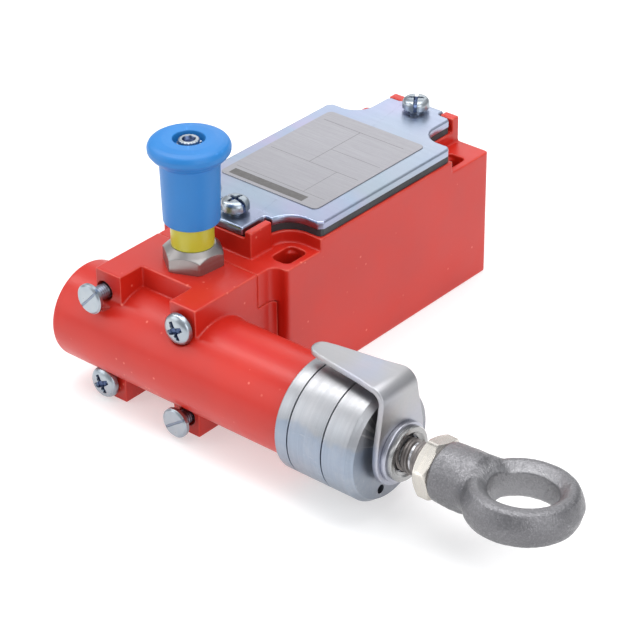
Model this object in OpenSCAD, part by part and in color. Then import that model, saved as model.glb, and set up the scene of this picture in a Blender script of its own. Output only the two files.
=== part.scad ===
// Rope pull switch: die-cast limit-switch enclosure with a pull head,
// a push-to-reset knob, a tension indicator and an eye nut for the rope.
// Frame: origin at the centre of the rear fixing pattern on the rear face,
// +X along the pull shaft towards the eye, +Y along the enclosure away from
// the head, +Z out of the rear face towards the cover. Millimetres.

/* [Enclosure] */
// Width of the enclosure across X
body_w = 39.2; // [38.6:0.1:40]
// Length of the enclosure along Y
body_l = 76.5; // [76:0.1:78]
// Height of the fixing shelf above the rear face
shelf_h = 33.9; // [33.5:0.1:34.5]
// Height of the cover wall above the shelf
wall_h = 3.1; // [2.8:0.1:3.4]
// Thickness of the cover gasket
gasket_t = 1.9; // [1.6:0.1:2.2]
// Thickness of the cover plate
plate_t = 2.0; // [1.6:0.1:2.2]
// Fixing centres across X
fix_x = 30; // [29.8:0.1:30.2]
// Fixing centres along Y
fix_y = 60; // [59.8:0.1:60.2]
// Width of a fixing slot
slot_w = 5.3; // [4.8:0.1:5.5]
// Length of a fixing slot, end to end
slot_l = 7.3; // [6.8:0.1:7.6]
// Radius of the cable entry at the thread crests
entry_r = 9.2; // [9:0.05:9.5]

/* [Head] */
// Width of the head block across X
head_w = 31.1; // [30.6:0.1:31.6]
// Radius of the tube
tube_r = 12; // [11.8:0.1:12.3]
// Left end of the tube
tube_x0 = -25.8; // [-26.4:0.1:-25.4]
// Right end of the tube, where the end sleeve starts
tube_x1 = 44.7; // [44:0.1:45]
// Radius of the bore inside the tube
bore_r = 8; // [8:0.05:8.2]
// Width of the gap between the lugs
lug_gap = 15.4; // [15:0.1:16]

/* [Pull shaft] */
// Full travel of the pull shaft
pull_travel = 16; // [12:0.5:16]
// Radius of the pull shaft
shaft_r = 5; // [5:0.01:5.02]
// Slope of the cam cone, radius per length
cam_slope = 0.15; // [0.12:0.01:0.15]
// Radius of the threaded end
thread_r = 3.95; // [3.9:0.01:3.98]
// Outer radius of the end sleeve
sleeve_r = 13.7; // [13.5:0.1:14]
// Front face of the end sleeve
sleeve_x1 = 66.2; // [66:0.1:66.4]

/* [Eye nut] */
// Centre of the eye
eye_x = 101.7; // [101:0.1:103]
// Radius of the eye hole
eye_r = 7.6; // [7.4:0.1:7.9]
// Outer radius of the eye
eye_ro = 13.3; // [13.2:0.05:13.8]
// Half thickness of the eye
eye_h = 4.3; // [4:0.1:4.4]
// Degrees the ring is turned about the rod
eye_roll = 5; // [0:1:8]
// Height of the ring's centre over the rod's axis
eye_lift = 1.0; // [0:0.1:1.2]

/* [Reset] */
// Travel of the reset knob
reset_travel = 5.5; // [4:0.5:5.5]
// Radius of the reset stem
stem_r = 2; // [1.98:0.01:2]
// Bottom edge of the knob, released
knob_z = 45.1; // [45.1:0.1:45.6]
// Radius of the knob flange
knob_r = 9.6; // [9.2:0.1:9.8]

/* [Hidden] */
$fn = 64;
E = 0.01;
hw = body_w / 2;
yn = -fix_y / 2 - 6;          // near end of the enclosure
yf = yn + body_l;             // far end
wall_z = shelf_h + wall_h;    // top of the cover wall
gas_z = wall_z + gasket_t;
top_z = gas_z + plate_t;
rib_z = top_z - 0.2;
ty = -56.2;                   // tube axis
tz = 16.6;
hx = head_w / 2;
neck_y = yn - 5.6;            // front of the enclosure's neck
neck_z = 25;
lug_y = -62.7;                // front face of the lugs
deck_z = shelf_h + 0.1;
head_y1 = yn - 0.4;
scr_x = 12.3;                 // half the head screws' spacing, about scr_c
scr_c = -0.65;
scr_zu = 28.7;
scr_zl = 4.6;
spot_y = lug_y - 0.9;         // where the screw heads bear on the tube
cs_z = top_z + 0.8;           // underside of the cover screws' heads
kx = 0;                       // reset axis
ky = -46.3;
brk_x = 67.7;                 // back of the bracket's leg, the shaft's shoulder
brk_t = 1.5;
brk_z = 34.2;                 // top of the bracket's flange
nut_x = 77.4;
nut_x1 = 81.3;
wedge_z = 25.2;
wedge_h = 5;
wedge_y = -46.5;
wedge_s = 0.4;
cam_x = -0.8;
cam_l = 18.2;

// local Z turned to +X, on the tube axis
module ax(x, y = ty, z = tz) { translate([x, y, z]) rotate([0, 90, 0]) children(); }
// local Z turned to +Y
module ay(x, y, z) { translate([x, y, z]) rotate([-90, 0, 0]) children(); }

function arc(cx, cy, r, a0, a1, n) = [for (i = [0:n]) let (a = a0 + (a1 - a0) * i / n) [cx + r * cos(a), cy + r * sin(a)]];
function mir(p) = [for (i = [len(p) - 1:-1:0]) [-p[i][0], p[i][1]]];
function ring_pts(c, u, v, r, n) = [for (i = [0:n - 1]) let (a = 360 * i / n) c + r * (u * cos(a) + v * sin(a))];
// coil spring from z0 to z1 along local Z, as one swept tube
module coil(z0, z1, rc, rw, turns, seg = 16, n = 8) {
    m = round(turns * seg);
    function z_at(t) = let (e = 1 / turns, q = (z1 - z0 - 4 * rw)) // closed end turns
        z0 + rw + (t < e ? t / e * 2 * rw * 0.55 : t > 1 - e ? q + 2 * rw * 0.45 + 2 * rw * 0.55 * (t - 1 + e) / e :
        2 * rw * 0.55 + (q + 2 * rw * 0.45 - 2 * rw * 0.55) * (t - e) / (1 - 2 * e));
    pts = [for (k = [0:m]) let (t = k / m, a = 360 * turns * t, rad = [cos(a), sin(a), 0])
        each ring_pts([rc * cos(a), rc * sin(a), z_at(t)], rad, [0, 0, 1], rw, n)];
    faces = concat([[for (i = [0:n - 1]) i]], [[for (i = [n - 1:-1:0]) m * n + i]],
        [for (k = [0:m - 1]) for (i = [0:n - 1]) let (j = (i + 1) % n) each [[k * n + i, (k + 1) * n + i, (k + 1) * n + j], [k * n + i, (k + 1) * n + j, k * n + j]]]);
    polyhedron(points = pts, faces = faces, convexity = 10);
}

// outline of the cover with its hollow corners around the fixing holes, grown by g
module cover_2d(g = 0) {
    h = concat([[6.65 + g, -36.7 - g], [6.65 + g, -28.9]],
        arc(15, -29.8, 6.2 - g, 171, 92, 9),
        [[17.9, -23.6 - g], [18.9 + g * 0.6, -23.2 - g * 0.6], [19.3 + g, -22.2], [19.3 + g, 24.2], [18.9 + g * 0.6, 25.2 + g * 0.6], [17.9, 25.6 + g]],
        arc(15.2, 31, 5.4 - g, 268, 182, 9),
        [[9.8 + g, 36.8], [9.0 + g, 37.6 + g], [5.8 + g, 37.6 + g], [5.8 + g, 40.0 + g]]);
    polygon(concat(h, mir(h)));
}
module wall_2d() {
    h = concat([[9.7, -37.2]], [[9.7, -31]], arc(15, -29.8, 5.8, 184, 92, 9),
        [[hw, -24]], [[hw, 25.8]], arc(15.2, 31, 5.2, 268, 182, 9), [[10.1, yf]]);
    polygon(concat(h, mir(h)));
}
module cavity_2d() {
    h = [[6.2, yn + 3], [6.2, -22.4], [7.2, -21.4], [16.2, -21.4], [16.8, -20.8], [16.8, 22.4], [16.2, 23], [7.2, 23], [6.2, 24], [6.2, yf - 7.2]];
    polygon(concat(h, mir(h)));
}
module slot(z0, z1) {
    d = (slot_l - slot_w) / 2;
    for (s = [-1, 1]) translate([0, s * d, z0]) cylinder(r = slot_w / 2, h = z1 - z0, $fn = 48);
    translate([-slot_w / 2, -d, z0]) cube([slot_w, 2 * d, z1 - z0]);
    // squarer cast mouth
    rblock(-slot_w / 2, slot_w / 2, -slot_l / 2, slot_l / 2, z1 - 2.4, z1, 1.5);
}
// a block with rounded vertical edges, corner to corner
module rblock(x0, x1, y0, y1, z0, z1, r = 0.8) {
    translate([x0 + r, y0, z0]) cube([x1 - x0 - 2 * r, y1 - y0, z1 - z0]);
    translate([x0, y0 + r, z0]) cube([x1 - x0, y1 - y0 - 2 * r, z1 - z0]);
    for (x = [x0 + r, x1 - r]) for (y = [y0 + r, y1 - r]) translate([x, y, z0]) cylinder(r = r, h = z1 - z0, $fn = 32);
}
module cross_recess(d, w, dep) {
    // crossed slots that a cross-head driver enters, cut down from local z = 0
    for (a = [0, 90]) rotate([0, 0, a]) translate([-d / 2, -w / 2, -dep]) cube([d, w, dep + 1]);
    translate([0, 0, -dep - 0.5]) cylinder(r1 = 0.4, r2 = w * 0.95, h = dep + 0.6, $fn = 32);
}
// pan head, top at local z = h, seat at 0
module pan_head(r, h) {
    rotate_extrude($fn = 48) polygon(concat([[0, 0], [r - 0.15, 0], [r, 0.2]],
        [for (i = [0:8]) let (a = i * 8) [r - (1 - cos(a)) * r * 0.45, 0.35 + (h - 0.35) * sin(a) / sin(64)]], [[0, h]]));
}

module enclosure() {
    color([0.78, 0.10, 0.07]) difference() {
        union() {
            rblock(-hw, hw, yn, yf, 0, shelf_h, 1.0);
            // neck that the head sits under
            translate([-hx, neck_y, neck_z]) cube([2 * hx, yn - neck_y + 1, shelf_h - neck_z]);
            // hollow fillets between the neck and the end face
            for (s = [-1, 1]) difference() {
                translate([s > 0 ? hx - E : -hx - 2.4 + E, yn - 2.4, neck_z]) cube([2.4, 2.4 + E, shelf_h - neck_z]);
                translate([s * (hx + 2.4), yn - 2.4, neck_z - 1]) cylinder(r = 2.4, h = 20, $fn = 48);
            }
            translate([0, 0, shelf_h - E]) linear_extrude(wall_h + E) wall_2d();
            for (s = [-1, 1]) {
                translate([s > 0 ? 7.8 : -9.7, -37.2, shelf_h]) cube([1.9, 7.3, rib_z - shelf_h]);
                translate([s > 0 ? 6.1 : -10.1, 38, shelf_h]) cube([4, yf - 38, rib_z - shelf_h]);
            }
            // front lip that hides the gasket under the cover's tab
            translate([-7.9, -37.2, wall_z - E]) cube([15.8, 0.85, 1.7 + E]);
        }
        for (x = [-1, 1]) for (y = [-1, 1]) translate([x * fix_x / 2, y * fix_y / 2, 0]) slot(-1, shelf_h + 1);
        translate([0, 0, 3]) linear_extrude(60) cavity_2d();
        // cable entry
        ay(0, yf - 7.3, 17.5) cylinder(r = entry_r, h = 10, $fn = 64);
        ay(0, yf - 0.8, 17.5) cylinder(r1 = entry_r, r2 = entry_r + 0.9, h = 0.9, $fn = 64);
        // plunger passage
        ay(0, yn - 1, tz) cylinder(r = 3, h = 5, $fn = 32);
        // tapped holes for the head screws
        for (s = [-1, 1]) {
            ay(scr_c + s * scr_x, neck_y - 1, scr_zu) cylinder(r = 2.0, h = 5.8, $fn = 32);
            ay(scr_c + s * scr_x, yn - 1, scr_zl) cylinder(r = 2.0, h = 3, $fn = 32);
        }
        // tapped holes for the cover screws
        for (y = [-31.6, 36]) translate([0, y, wall_z - 8]) cylinder(r = 2.0, h = 9, $fn = 32);
    }
    // bosses under the cover screws and the earth post, cast with the body
    color([0.78, 0.10, 0.07]) for (y = [-31.6, 36]) difference() {
        translate([-4, y - (y < 0 ? 2.2 : 3.4), wall_z - 10]) cube([8, 5.6, 10]);
        translate([0, y, wall_z - 8]) cylinder(r = 2.0, h = 9, $fn = 32);
    }
    color([0.78, 0.10, 0.07]) difference() {
        translate([11.5, 19, 2.9]) cylinder(r = 3.2, h = 6.1, $fn = 32);
        translate([11.5, 19, 4.5]) cylinder(r = 1.75, h = 6, $fn = 32);
    }
}
module cover_gasket() {
    color([0.05, 0.05, 0.055]) translate([0, 0, wall_z]) linear_extrude(gasket_t) difference() {
        cover_2d(-0.25);
        offset_in();
        for (y = [-31.6, 36]) translate([0, y]) circle(r = 2.2, $fn = 32);
        translate([-20, -40]) square([40, 3.7]);
    }
}
// inner opening of the gasket, over the enclosure's own opening
module offset_in() { h = [[5.4, -27.6], [5.4, -21.8], [6.6, -20.8], [15.8, -20.8], [15.8, 22.4], [6.6, 22.4], [5.4, 23.4], [5.4, 31]]; polygon(concat(h, mir(h))); }
module cover_plate() {
    color([0.68, 0.72, 0.80]) translate([0, 0, gas_z]) difference() {
        union() {
            linear_extrude(plate_t - 0.6) cover_2d(0);
            translate([0, 0, plate_t - 0.6]) linear_extrude(0.3) cover_2d(-0.14);
            translate([0, 0, plate_t - 0.3]) linear_extrude(0.3) cover_2d(-0.45);
        }
        for (y = [-31.6, 36]) translate([0, y, -1]) cylinder(r = 2.15, h = 5, $fn = 32);
    }
}
module cover_screws() {
    color([0.72, 0.74, 0.76]) for (p = [[-31.6, 24], [36, 12]]) translate([0, p[0], top_z]) {
        difference() {
            translate([0, 0, cs_z - top_z]) pan_head(3.45, 2.8);
            rotate([0, 0, p[1]]) translate([0, 0, cs_z - top_z + 2.8]) cross_recess(4.2, 0.9, 1.6);
        }
        // collar that keeps the screw captive in the plate
        cylinder(r = 2.6, h = cs_z - top_z + E, $fn = 48);
        translate([0, 0, -9.5]) cylinder(r = 1.9, h = 9.5 + E, $fn = 32);
    }
}
module rating_label() {
    color([0.62, 0.62, 0.60]) translate([0, 0, top_z]) linear_extrude(0.2) difference() {
        translate([-16, -19.5]) square([30.2, 41.3]);
        for (c = [[-16, -19.5, 0], [14.2, -19.5, 90], [14.2, 21.8, 180], [-16, 21.8, 270]]) translate([c[0], c[1]]) rotate([0, 0, c[2]])
            difference() { translate([-1, -1]) square(2.2); translate([1.2, 1.2]) circle(r = 1.2, $fn = 32); }
    }
}

module head_housing() {
    color([0.80, 0.11, 0.08]) difference() {
        union() {
            // block behind the tube, stepped under the neck
            translate([-hx, ty + 0.8, 0.2]) cube([2 * hx, neck_y - ty - 0.8, deck_z - 0.2]);
            translate([-hx, neck_y - 1, 0.2]) cube([2 * hx, head_y1 - neck_y + 1, neck_z - 0.2]);
            for (s = [-1, 1]) difference() {
                translate([s > 0 ? hx - E : -hx - 2.0 + E, head_y1 - 2.0, 0.2]) cube([2.0, 2.0, neck_z - 0.2]);
                translate([s * (hx + 2.0), head_y1 - 2.0, -1]) cylinder(r = 2.0, h = 30, $fn = 48);
            }
            // lugs
            for (s = [-1, 1]) translate([s > 0 ? lug_gap / 2 : -hx, lug_y, 0.2]) cube([hx - lug_gap / 2, ty - lug_y + 2, deck_z - 0.2]);
            // tube with a rounded closed end
            ax(tube_x0) rotate_extrude($fn = 96) polygon(concat([[0, 0]], [for (i = [0:8]) let (a = -90 + i * 11.25) [tube_r - 0.9 + 0.9 * cos(a), 0.9 + 0.9 * sin(a)]], [[tube_r, tube_x1 - tube_x0], [0, tube_x1 - tube_x0]]));
        }
        // bore and spigot seat
        ax(-22.8) cylinder(r = bore_r, h = 80, $fn = 96);
        ax(tube_x1 - 9.7) cylinder(r = 9.6, h = 12, $fn = 96);
        // head screws: spot face on the tube, then clearance
        for (s = [-1, 1]) for (z = [scr_zu, scr_zl]) {
            ay(scr_c + s * scr_x, spot_y - 8, z) cylinder(r = 4.05, h = 8, $fn = 48);
            ay(scr_c + s * scr_x, spot_y - 2, z) cylinder(r = 2.4, h = 42, $fn = 32);
        }
        // reset bush seat, latch pocket and slider channel
        translate([kx, ky, 30]) cylinder(r = 4.3, h = 10, $fn = 64);
        translate([-3.4, -49.2, 19.2]) cube([6.8, 5.6, 11.5]);
        translate([-3.85, -50.5, 19.25]) cube([7.7, 12.3, 4.7]);
        // plunger passage and bush seat
        ay(0, ty + 4, tz) cylinder(r = 2.15, h = 10, $fn = 32);
        ay(0, neck_y - 0.6, tz) cylinder(r = 3.0, h = 10, $fn = 48);
    }
}
module head_gasket() {
    color([0.06, 0.06, 0.06]) difference() {
        translate([-15.45, head_y1, 0.8]) cube([30.9, yn - head_y1, 23.8]);
        ay(0, head_y1 - 1, tz) cylinder(r = 3.0, h = 3, $fn = 32);
        for (s = [-1, 1]) ay(scr_c + s * scr_x, head_y1 - 1, scr_zl) cylinder(r = 2.2, h = 3, $fn = 32);
    }
}
module head_screw(x, y, z, a, l) {
    ay(x, y, z) {
        difference() {
            mirror([0, 0, 1]) pan_head(3.9, 2.2);
            rotate([0, 0, a]) mirror([0, 0, 1]) translate([0, 0, 2.2]) cross_recess(4.2, 0.9, 1.3);
        }
        cylinder(r = 1.9, h = l, $fn = 32);
    }
}
// two of the head screws are run home
module head_screws_seated() {
    color([0.72, 0.74, 0.76]) {
        head_screw(scr_c + scr_x, spot_y, scr_zu, 30, 26.4);
        head_screw(scr_c - scr_x, spot_y, scr_zl, 55, 29.2);
    }
}
// the other two stand off their lugs and have a plain flat slotted head
module head_screws_proud() {
    color([0.66, 0.68, 0.70]) for (p = [[scr_c - scr_x, lug_y - 4.0, scr_zu, 27.0, 20], [scr_c + scr_x, lug_y - 3.0, scr_zl, 28.8, 35]]) ay(p[0], p[1], p[2]) {
        difference() {
            mirror([0, 0, 1]) rotate_extrude($fn = 48) polygon([[0, 0], [3.5, 0], [3.7, 0.2], [3.7, 1.2], [3.5, 1.4], [0, 1.4]]);
            rotate([0, 0, p[4]]) mirror([0, 0, 1]) translate([-5, -0.3, 1.2]) cube([10, 0.6, 2]);
        }
        cylinder(r = 1.9, h = p[3], $fn = 32);
    }
}

module end_sleeve() {
    g = 0.35;
    color([0.66, 0.68, 0.71]) difference() {
        ax(0) rotate_extrude($fn = 128) polygon([
            [8, 35.2], [9.6, 35.2], [9.6, tube_x1], [sleeve_r - 0.25, tube_x1], [sleeve_r, tube_x1 + 0.25],
            [sleeve_r, 48.4 - g / 2], [sleeve_r - g, 48.4], [sleeve_r, 48.4 + g / 2],
            [sleeve_r, 58 - g / 2], [sleeve_r - g, 58], [sleeve_r, 58 + g / 2],
            [sleeve_r, sleeve_x1 - 1.5], [sleeve_r - 0.5, sleeve_x1 - 1.0], [sleeve_r - 1.1, sleeve_x1],
            [5.5, sleeve_x1], [5.5, 64.9], [7.5, 64.9], [7.5, 61.5], [5.5, 61.5], [5.5, 56], [8, 56]]);
        // pin-spanner holes in the front face
        for (s = [-1, 1]) ax(sleeve_x1 - 4, ty - s * 3.1, tz - s * 9.9) cylinder(r = 1.1, h = 6, $fn = 32);
    }
}
module guide_bush() {
    color([0.62, 0.45, 0.22]) ax(44) difference() {
        cylinder(r = 8, h = 12, $fn = 96);
        translate([0, 0, -1]) cylinder(r = shaft_r + 0.05, h = 20, $fn = 96);
    }
}
module wiper_seal() {
    color([0.05, 0.05, 0.05]) ax(61.5) rotate_extrude($fn = 64) polygon([[5.35, 0], [7.5, 0], [7.5, 3.4], [6.2, 3.4], [5.35, 2.2]]);
}
module plunger_bush() {
    color([0.78, 0.62, 0.30]) ay(0, neck_y - 0.6, tz) difference() {
        cylinder(r = 3, h = 5.7, $fn = 48);
        translate([0, 0, -1]) cylinder(r = 1.8, h = 8, $fn = 48);
    }
}
module hex_bush() {
    r6 = 13 / sqrt(3);
    color([0.60, 0.57, 0.53]) translate([kx, ky, 0]) difference() {
        union() {
            translate([0, 0, 30.7]) cylinder(r = 4.3, h = 4, $fn = 64);
            intersection() {
                translate([0, 0, deck_z]) rotate([0, 0, -36]) cylinder(r = r6, h = 5.2, $fn = 6);
                rotate_extrude($fn = 96) polygon([[0, deck_z - 1], [r6 + 0.2, deck_z - 1], [r6 + 0.2, deck_z + 2.8], [6.4, deck_z + 4.0], [5.3, deck_z + 5.1], [0, deck_z + 5.1]]);
            }
        }
        translate([0, 0, 30]) cylinder(r = stem_r + 0.05, h = 12, $fn = 48);
        translate([0, 0, 37]) cylinder(r = 4.35, h = 4, $fn = 64);
    }
}
module yellow_sleeve() {
    color([0.85, 0.76, 0.10]) translate([kx, ky, deck_z + 5.1]) difference() {
        cylinder(r = 5.05, h = 7.4, $fn = 64);
        translate([0, 0, -1]) cylinder(r = 4.35, h = 12, $fn = 64);
    }
}

module contact_block() {
    color([0.07, 0.07, 0.08]) difference() {
        translate([-14, -20.6, 3]) cube([28, 36.6, 23]);
        translate([-3.4, -21, 13.2]) cube([6.8, 33, 7.2]);
        for (yc = [-10.5, 3.5]) {
            translate([-12.7, yc - 0.9, 14]) cube([25.4, 4.4, 5.4]);
            for (s = [-1, 1]) {
                translate([s > 0 ? 7.3 : -12.7, yc - 1.9, 12]) cube([5.4, 5.4, 20]);
                translate([s * 10, yc - 4.6, 15]) cylinder(r = 1.6, h = 20, $fn = 32);
            }
        }
        for (s = [-1, 1]) translate([s * 6, 13.9, 2]) cylinder(r = 1.6, h = 40, $fn = 32);
    }
}
module block_screws() {
    color([0.70, 0.70, 0.72]) for (s = [-1, 1]) translate([s * 6, 13.9, 26]) {
        difference() { pan_head(2.6, 1.8); translate([0, 0, 1.8]) cross_recess(2.8, 0.6, 0.9); }
        translate([0, 0, -22.9]) cylinder(r = 1.5, h = 23, $fn = 32);
    }
}
module fixed_contacts() {
    color([0.80, 0.66, 0.35]) for (yc = [-10.5, 3.5]) for (s = [-1, 1]) difference() {
        union() {
            translate([s > 0 ? 7.5 : -12.5, yc - 1.8, 13]) cube([5, 1, 14]);
            translate([s > 0 ? 7.5 : -12.5, yc - 7.0, 26]) cube([5, 6.2, 1]);
        }
        translate([s * 10, yc - 4.6, 25]) cylinder(r = 1.6, h = 4, $fn = 32);
    }
}
module terminal_clamps() {
    color([0.75, 0.75, 0.76]) for (yc = [-10.5, 3.5]) for (s = [-1, 1]) translate([s * 10, yc - 4.6, 27]) difference() {
        translate([-2.4, -2.3, 0]) cube([4.8, 4.6, 0.7]);
        translate([0, 0, -1]) cylinder(r = 1.6, h = 4, $fn = 32);
    }
}
module terminal_screws() {
    color([0.75, 0.75, 0.76]) for (yc = [-10.5, 3.5]) for (s = [-1, 1]) translate([s * 10, yc - 4.6, 27.7]) {
        difference() { pan_head(2.6, 2.0); translate([0, 0, 2.0]) cross_recess(3.0, 0.7, 1.0); }
        translate([0, 0, -10]) cylinder(r = 1.5, h = 10 + E, $fn = 32);
    }
}
module earth_screw() {
    color([0.75, 0.75, 0.76]) translate([11.5, 19, 9]) {
        cylinder(r = 3.1, h = 0.8, $fn = 32);
        difference() { translate([0, 0, 0.8 - E]) pan_head(2.8, 2.0); translate([0, 0, 2.8]) cross_recess(3.2, 0.7, 1.0); }
        translate([0, 0, -4]) cylinder(r = 1.7, h = 4 + E, $fn = 32);
    }
}

module main_spring() { color([0.55, 0.56, 0.58]) ax(11.6) coil(0, 32.3, 6.6, 0.75, 9, 16, 8); }
module reset_spring() { color([0.6, 0.6, 0.6]) translate([kx, ky, 0]) coil(37.05, 52.9, 3.75, 0.35, 8, 12, 6); }
module latch_spring() { color([0.6, 0.6, 0.6]) ay(0, -42.95, 21.6) coil(0, 4.7, 1.6, 0.3, 3, 16, 6); }
module contact_spring() { color([0.6, 0.6, 0.6]) ay(0, 6.05, tz) coil(0, 5.9, 2.1, 0.3, 5, 12, 6); }

module pull_shaft() {
    r1 = shaft_r + cam_slope * cam_l;
    color([0.62, 0.60, 0.56]) ax(0) rotate_extrude($fn = 96) polygon([
        [0, -22.3], [bore_r - 0.45, -22.3], [bore_r - 0.05, -21.9], [bore_r - 0.05, cam_x - cam_l], [r1, cam_x - cam_l],
        [shaft_r, cam_x], [shaft_r, brk_x], [thread_r, brk_x], [thread_r, 87.4], [thread_r - 0.6, 88], [0, 88]]);
}
module spring_seat() {
    color([0.55, 0.55, 0.57]) ax(9.2) difference() {
        cylinder(r = 7.4, h = 2.4, $fn = 64);
        translate([0, 0, -1]) cylinder(r = shaft_r, h = 5, $fn = 64);
    }
}
module indicator_bracket() {
    ri = 2.2;
    ro = ri + brk_t;
    bx = brk_x + brk_t;
    color([0.70, 0.73, 0.78]) difference() {
        union() {
            // flange over the sleeve, narrowing to its tip
            translate([0, ty, brk_z - brk_t]) linear_extrude(brk_t) {
                h = [[44.9, 0.9], [45.6, 2.1], [61, 4.75], [bx - ro + E, 5.9]];
                polygon(concat(h, [for (i = [3:-1:0]) [h[i][0], -h[i][1]]]));
            }
            // bend
            translate([bx - ro, ty + 5.9, brk_z - ro]) rotate([90, 0, 0]) linear_extrude(11.8) difference() {
                circle(r = ro, $fn = 48);
                circle(r = ri, $fn = 48);
                translate([-9, -5]) square([9, 10]);
                translate([-1, -9]) square([10, 9]);
            }
            // leg with a round foot about the shaft
            ax(brk_x) linear_extrude(brk_t) {
                // local x is -Z, local y is Y
                h = [[-(brk_z - ro - tz) - E, 5.9], [-12.5, 6.8], [-6, 7.9], [0, 8.2]];
                polygon(concat(h, [for (i = [3:-1:0]) [h[i][0], -h[i][1]]]));
                circle(r = 8.2, $fn = 64);
            }
        }
        ax(brk_x - 1) cylinder(r = 4.1, h = 5, $fn = 64);
    }
}
module flat_washer() {
    color([0.72, 0.74, 0.80]) ax(brk_x + brk_t) difference() {
        rotate_extrude($fn = 64) polygon([[0, 0], [7.2, 0], [7.2, 1.1], [7.0, 1.3], [0, 1.3]]);
        translate([0, 0, -1]) cylinder(r = 4.1, h = 5, $fn = 64);
    }
}
module retaining_ring() {
    color([0.66, 0.63, 0.58]) ax(brk_x + brk_t + 1.3) rotate_extrude($fn = 64) polygon([[4.3, 0], [6.5, 0], [6.5, 1.0], [6.35, 1.2], [5.35, 1.25], [4.9, 0.9], [4.3, 0.6]]);
}
module lock_nut() {
    r6 = 13 / sqrt(3);
    h = nut_x1 - nut_x;
    color([0.78, 0.74, 0.68]) ax(nut_x) difference() {
        intersection() {
            rotate([0, 0, 45]) cylinder(r = r6, h = h, $fn = 6);
            rotate_extrude($fn = 96) polygon([[0, 0], [6.3, 0], [r6 + 0.1, 0.75], [r6 + 0.1, h - 0.75], [6.3, h], [0, h]]);
        }
        translate([0, 0, -1]) cylinder(r = thread_r + 0.03, h = 9, $fn = 64);
    }
}
module eye_nut() {
    rc = (eye_r + eye_ro) / 2 - 0.15;
    a = eye_ro - rc;
    n = 2.5;
    color([0.42, 0.42, 0.43]) difference() {
        union() {
            in_ring() translate([eye_x, 0, 0]) rotate_extrude($fn = 96) polygon(concat([[eye_r, -2.8], [eye_r + 0.3, -3.4], [eye_r + 1.1, -3.95]],
                [for (i = [-8:8]) let (t = i * 11.25, c = cos(t), s = sin(t)) [rc + a * pow(abs(c), 2 / n), eye_h * sign(s) * pow(abs(s), 2 / n)]],
                [[eye_r + 1.1, 3.95], [eye_r + 0.3, 3.4], [eye_r, 2.8]]));
            ax(nut_x1) rotate_extrude($fn = 64) polygon([[0, 0], [6.4, 0], [6.9, 0.6], [7.1, 4], [7.1, 7.6], [6.7, 9.2], [5.6, 10.6], [0, 11]]);
            hull() {
                ax(nut_x1 + 7.6) cylinder(r = 6.6, h = 0.6, $fn = 32);
                in_ring() translate([eye_x - 9.6, -7, -3.2]) cube([0.4, 14, 6.4]);
                in_ring() translate([eye_x - 10.6, -4.5, -4.0]) cube([0.6, 9, 8]);
                in_ring() translate([eye_x - 9.0, -9.2, -3.0]) cube([0.4, 18.4, 6.0]);
            }
        }
        in_ring() translate([eye_x, 0, -9]) cylinder(r = eye_r, h = 18, $fn = 96);
        ax(nut_x1 - 1) cylinder(r = thread_r + 0.03, h = 8.8, $fn = 64);
    }
}
// the ring's own frame: turned about the rod and forged a little above its axis
module in_ring() translate([0, ty, tz]) rotate([-eye_roll, 0, 0]) translate([0, 0, eye_lift]) children();

module reset_stem() {
    color([0.66, 0.64, 0.60]) translate([kx, ky, 0]) difference() {
        union() {
            translate([0, 0, wedge_z + wedge_h]) cylinder(r = stem_r, h = 61.5 - wedge_z - wedge_h, $fn = 48);
        }
        translate([0, 0, 55]) cylinder(r = 1.25, h = 8, $fn = 32);
    }
}
module latch_wedge() {
    color([0.55, 0.55, 0.57]) translate([3, 0, 0]) rotate([0, -90, 0]) linear_extrude(6)
        polygon([[wedge_z, -48.2], [wedge_z + wedge_h, -48.2], [wedge_z + wedge_h, wedge_y + wedge_s * wedge_h], [wedge_z, wedge_y]]);
}
module reset_knob() {
    ceil_z = 53;
    zt = 65.9;
    color([0.10, 0.36, 0.78]) translate([kx, ky, 0]) rotate_extrude($fn = 96) polygon(concat(
        [[5.45, knob_z + 0.1], [5.6, knob_z], [6.3, knob_z], [6.6, knob_z + 0.35], [6.95, 59.6], [7.1, 60.2], [7.6, 60.9], [8.5, 61.8], [9.2, 62.7], [knob_r - 0.1, 63.3], [knob_r, 64.0], [knob_r - 0.15, 64.6], [9.1, 65.2], [8.2, 65.6], [6.5, zt], [3.9, zt], [3.57, zt - 0.3], [3.57, zt - 2.0], [1.6, zt - 2.0], [1.6, 61.5], [stem_r, 61.5], [stem_r, ceil_z], [5.45, ceil_z]]));
}
module knob_washer() {
    zt = 63.9;
    color([0.70, 0.71, 0.72]) translate([kx, ky, zt]) difference() {
        union() {
            cylinder(r = 2.5, h = 0.5, $fn = 48);
            for (i = [0:11]) rotate([0, 0, i * 30]) translate([2.2, -0.35, 0]) cube([1.0, 0.7, 0.5]);
        }
        translate([0, 0, -1]) cylinder(r = 1.3, h = 3, $fn = 32);
    }
}
module knob_screw() {
    color([0.74, 0.75, 0.76]) translate([kx, ky, 64.4]) {
        difference() {
            union() {
                cylinder(r = 2.35, h = 1.35, $fn = 48);
                // knurled rim
                for (i = [0:17]) rotate([0, 0, i * 20]) translate([2.3, 0, 0.2]) rotate([0, 0, 45]) translate([-0.14, -0.14, 0]) cube([0.28, 0.28, 1.0]);
            }
            // socket
            translate([0, 0, 0.3]) cylinder(r = 1.45, h = 2, $fn = 6);
        }
        translate([0, 0, -8]) cylinder(r = 1.2, h = 8 + E, $fn = 32);
    }
}
module latch_slider() {
    z0 = 19.6;
    z1 = 23.6;
    y0 = wedge_y + 0.35 + wedge_s * (z0 - wedge_z);
    y1 = wedge_y + 0.35 + wedge_s * (z1 - wedge_z);
    color([0.60, 0.58, 0.52]) translate([3.5, 0, 0]) rotate([0, -90, 0]) linear_extrude(7) polygon([[z0, y0], [z1, y1], [z1, -43], [z0, -43]]);
}
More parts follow.
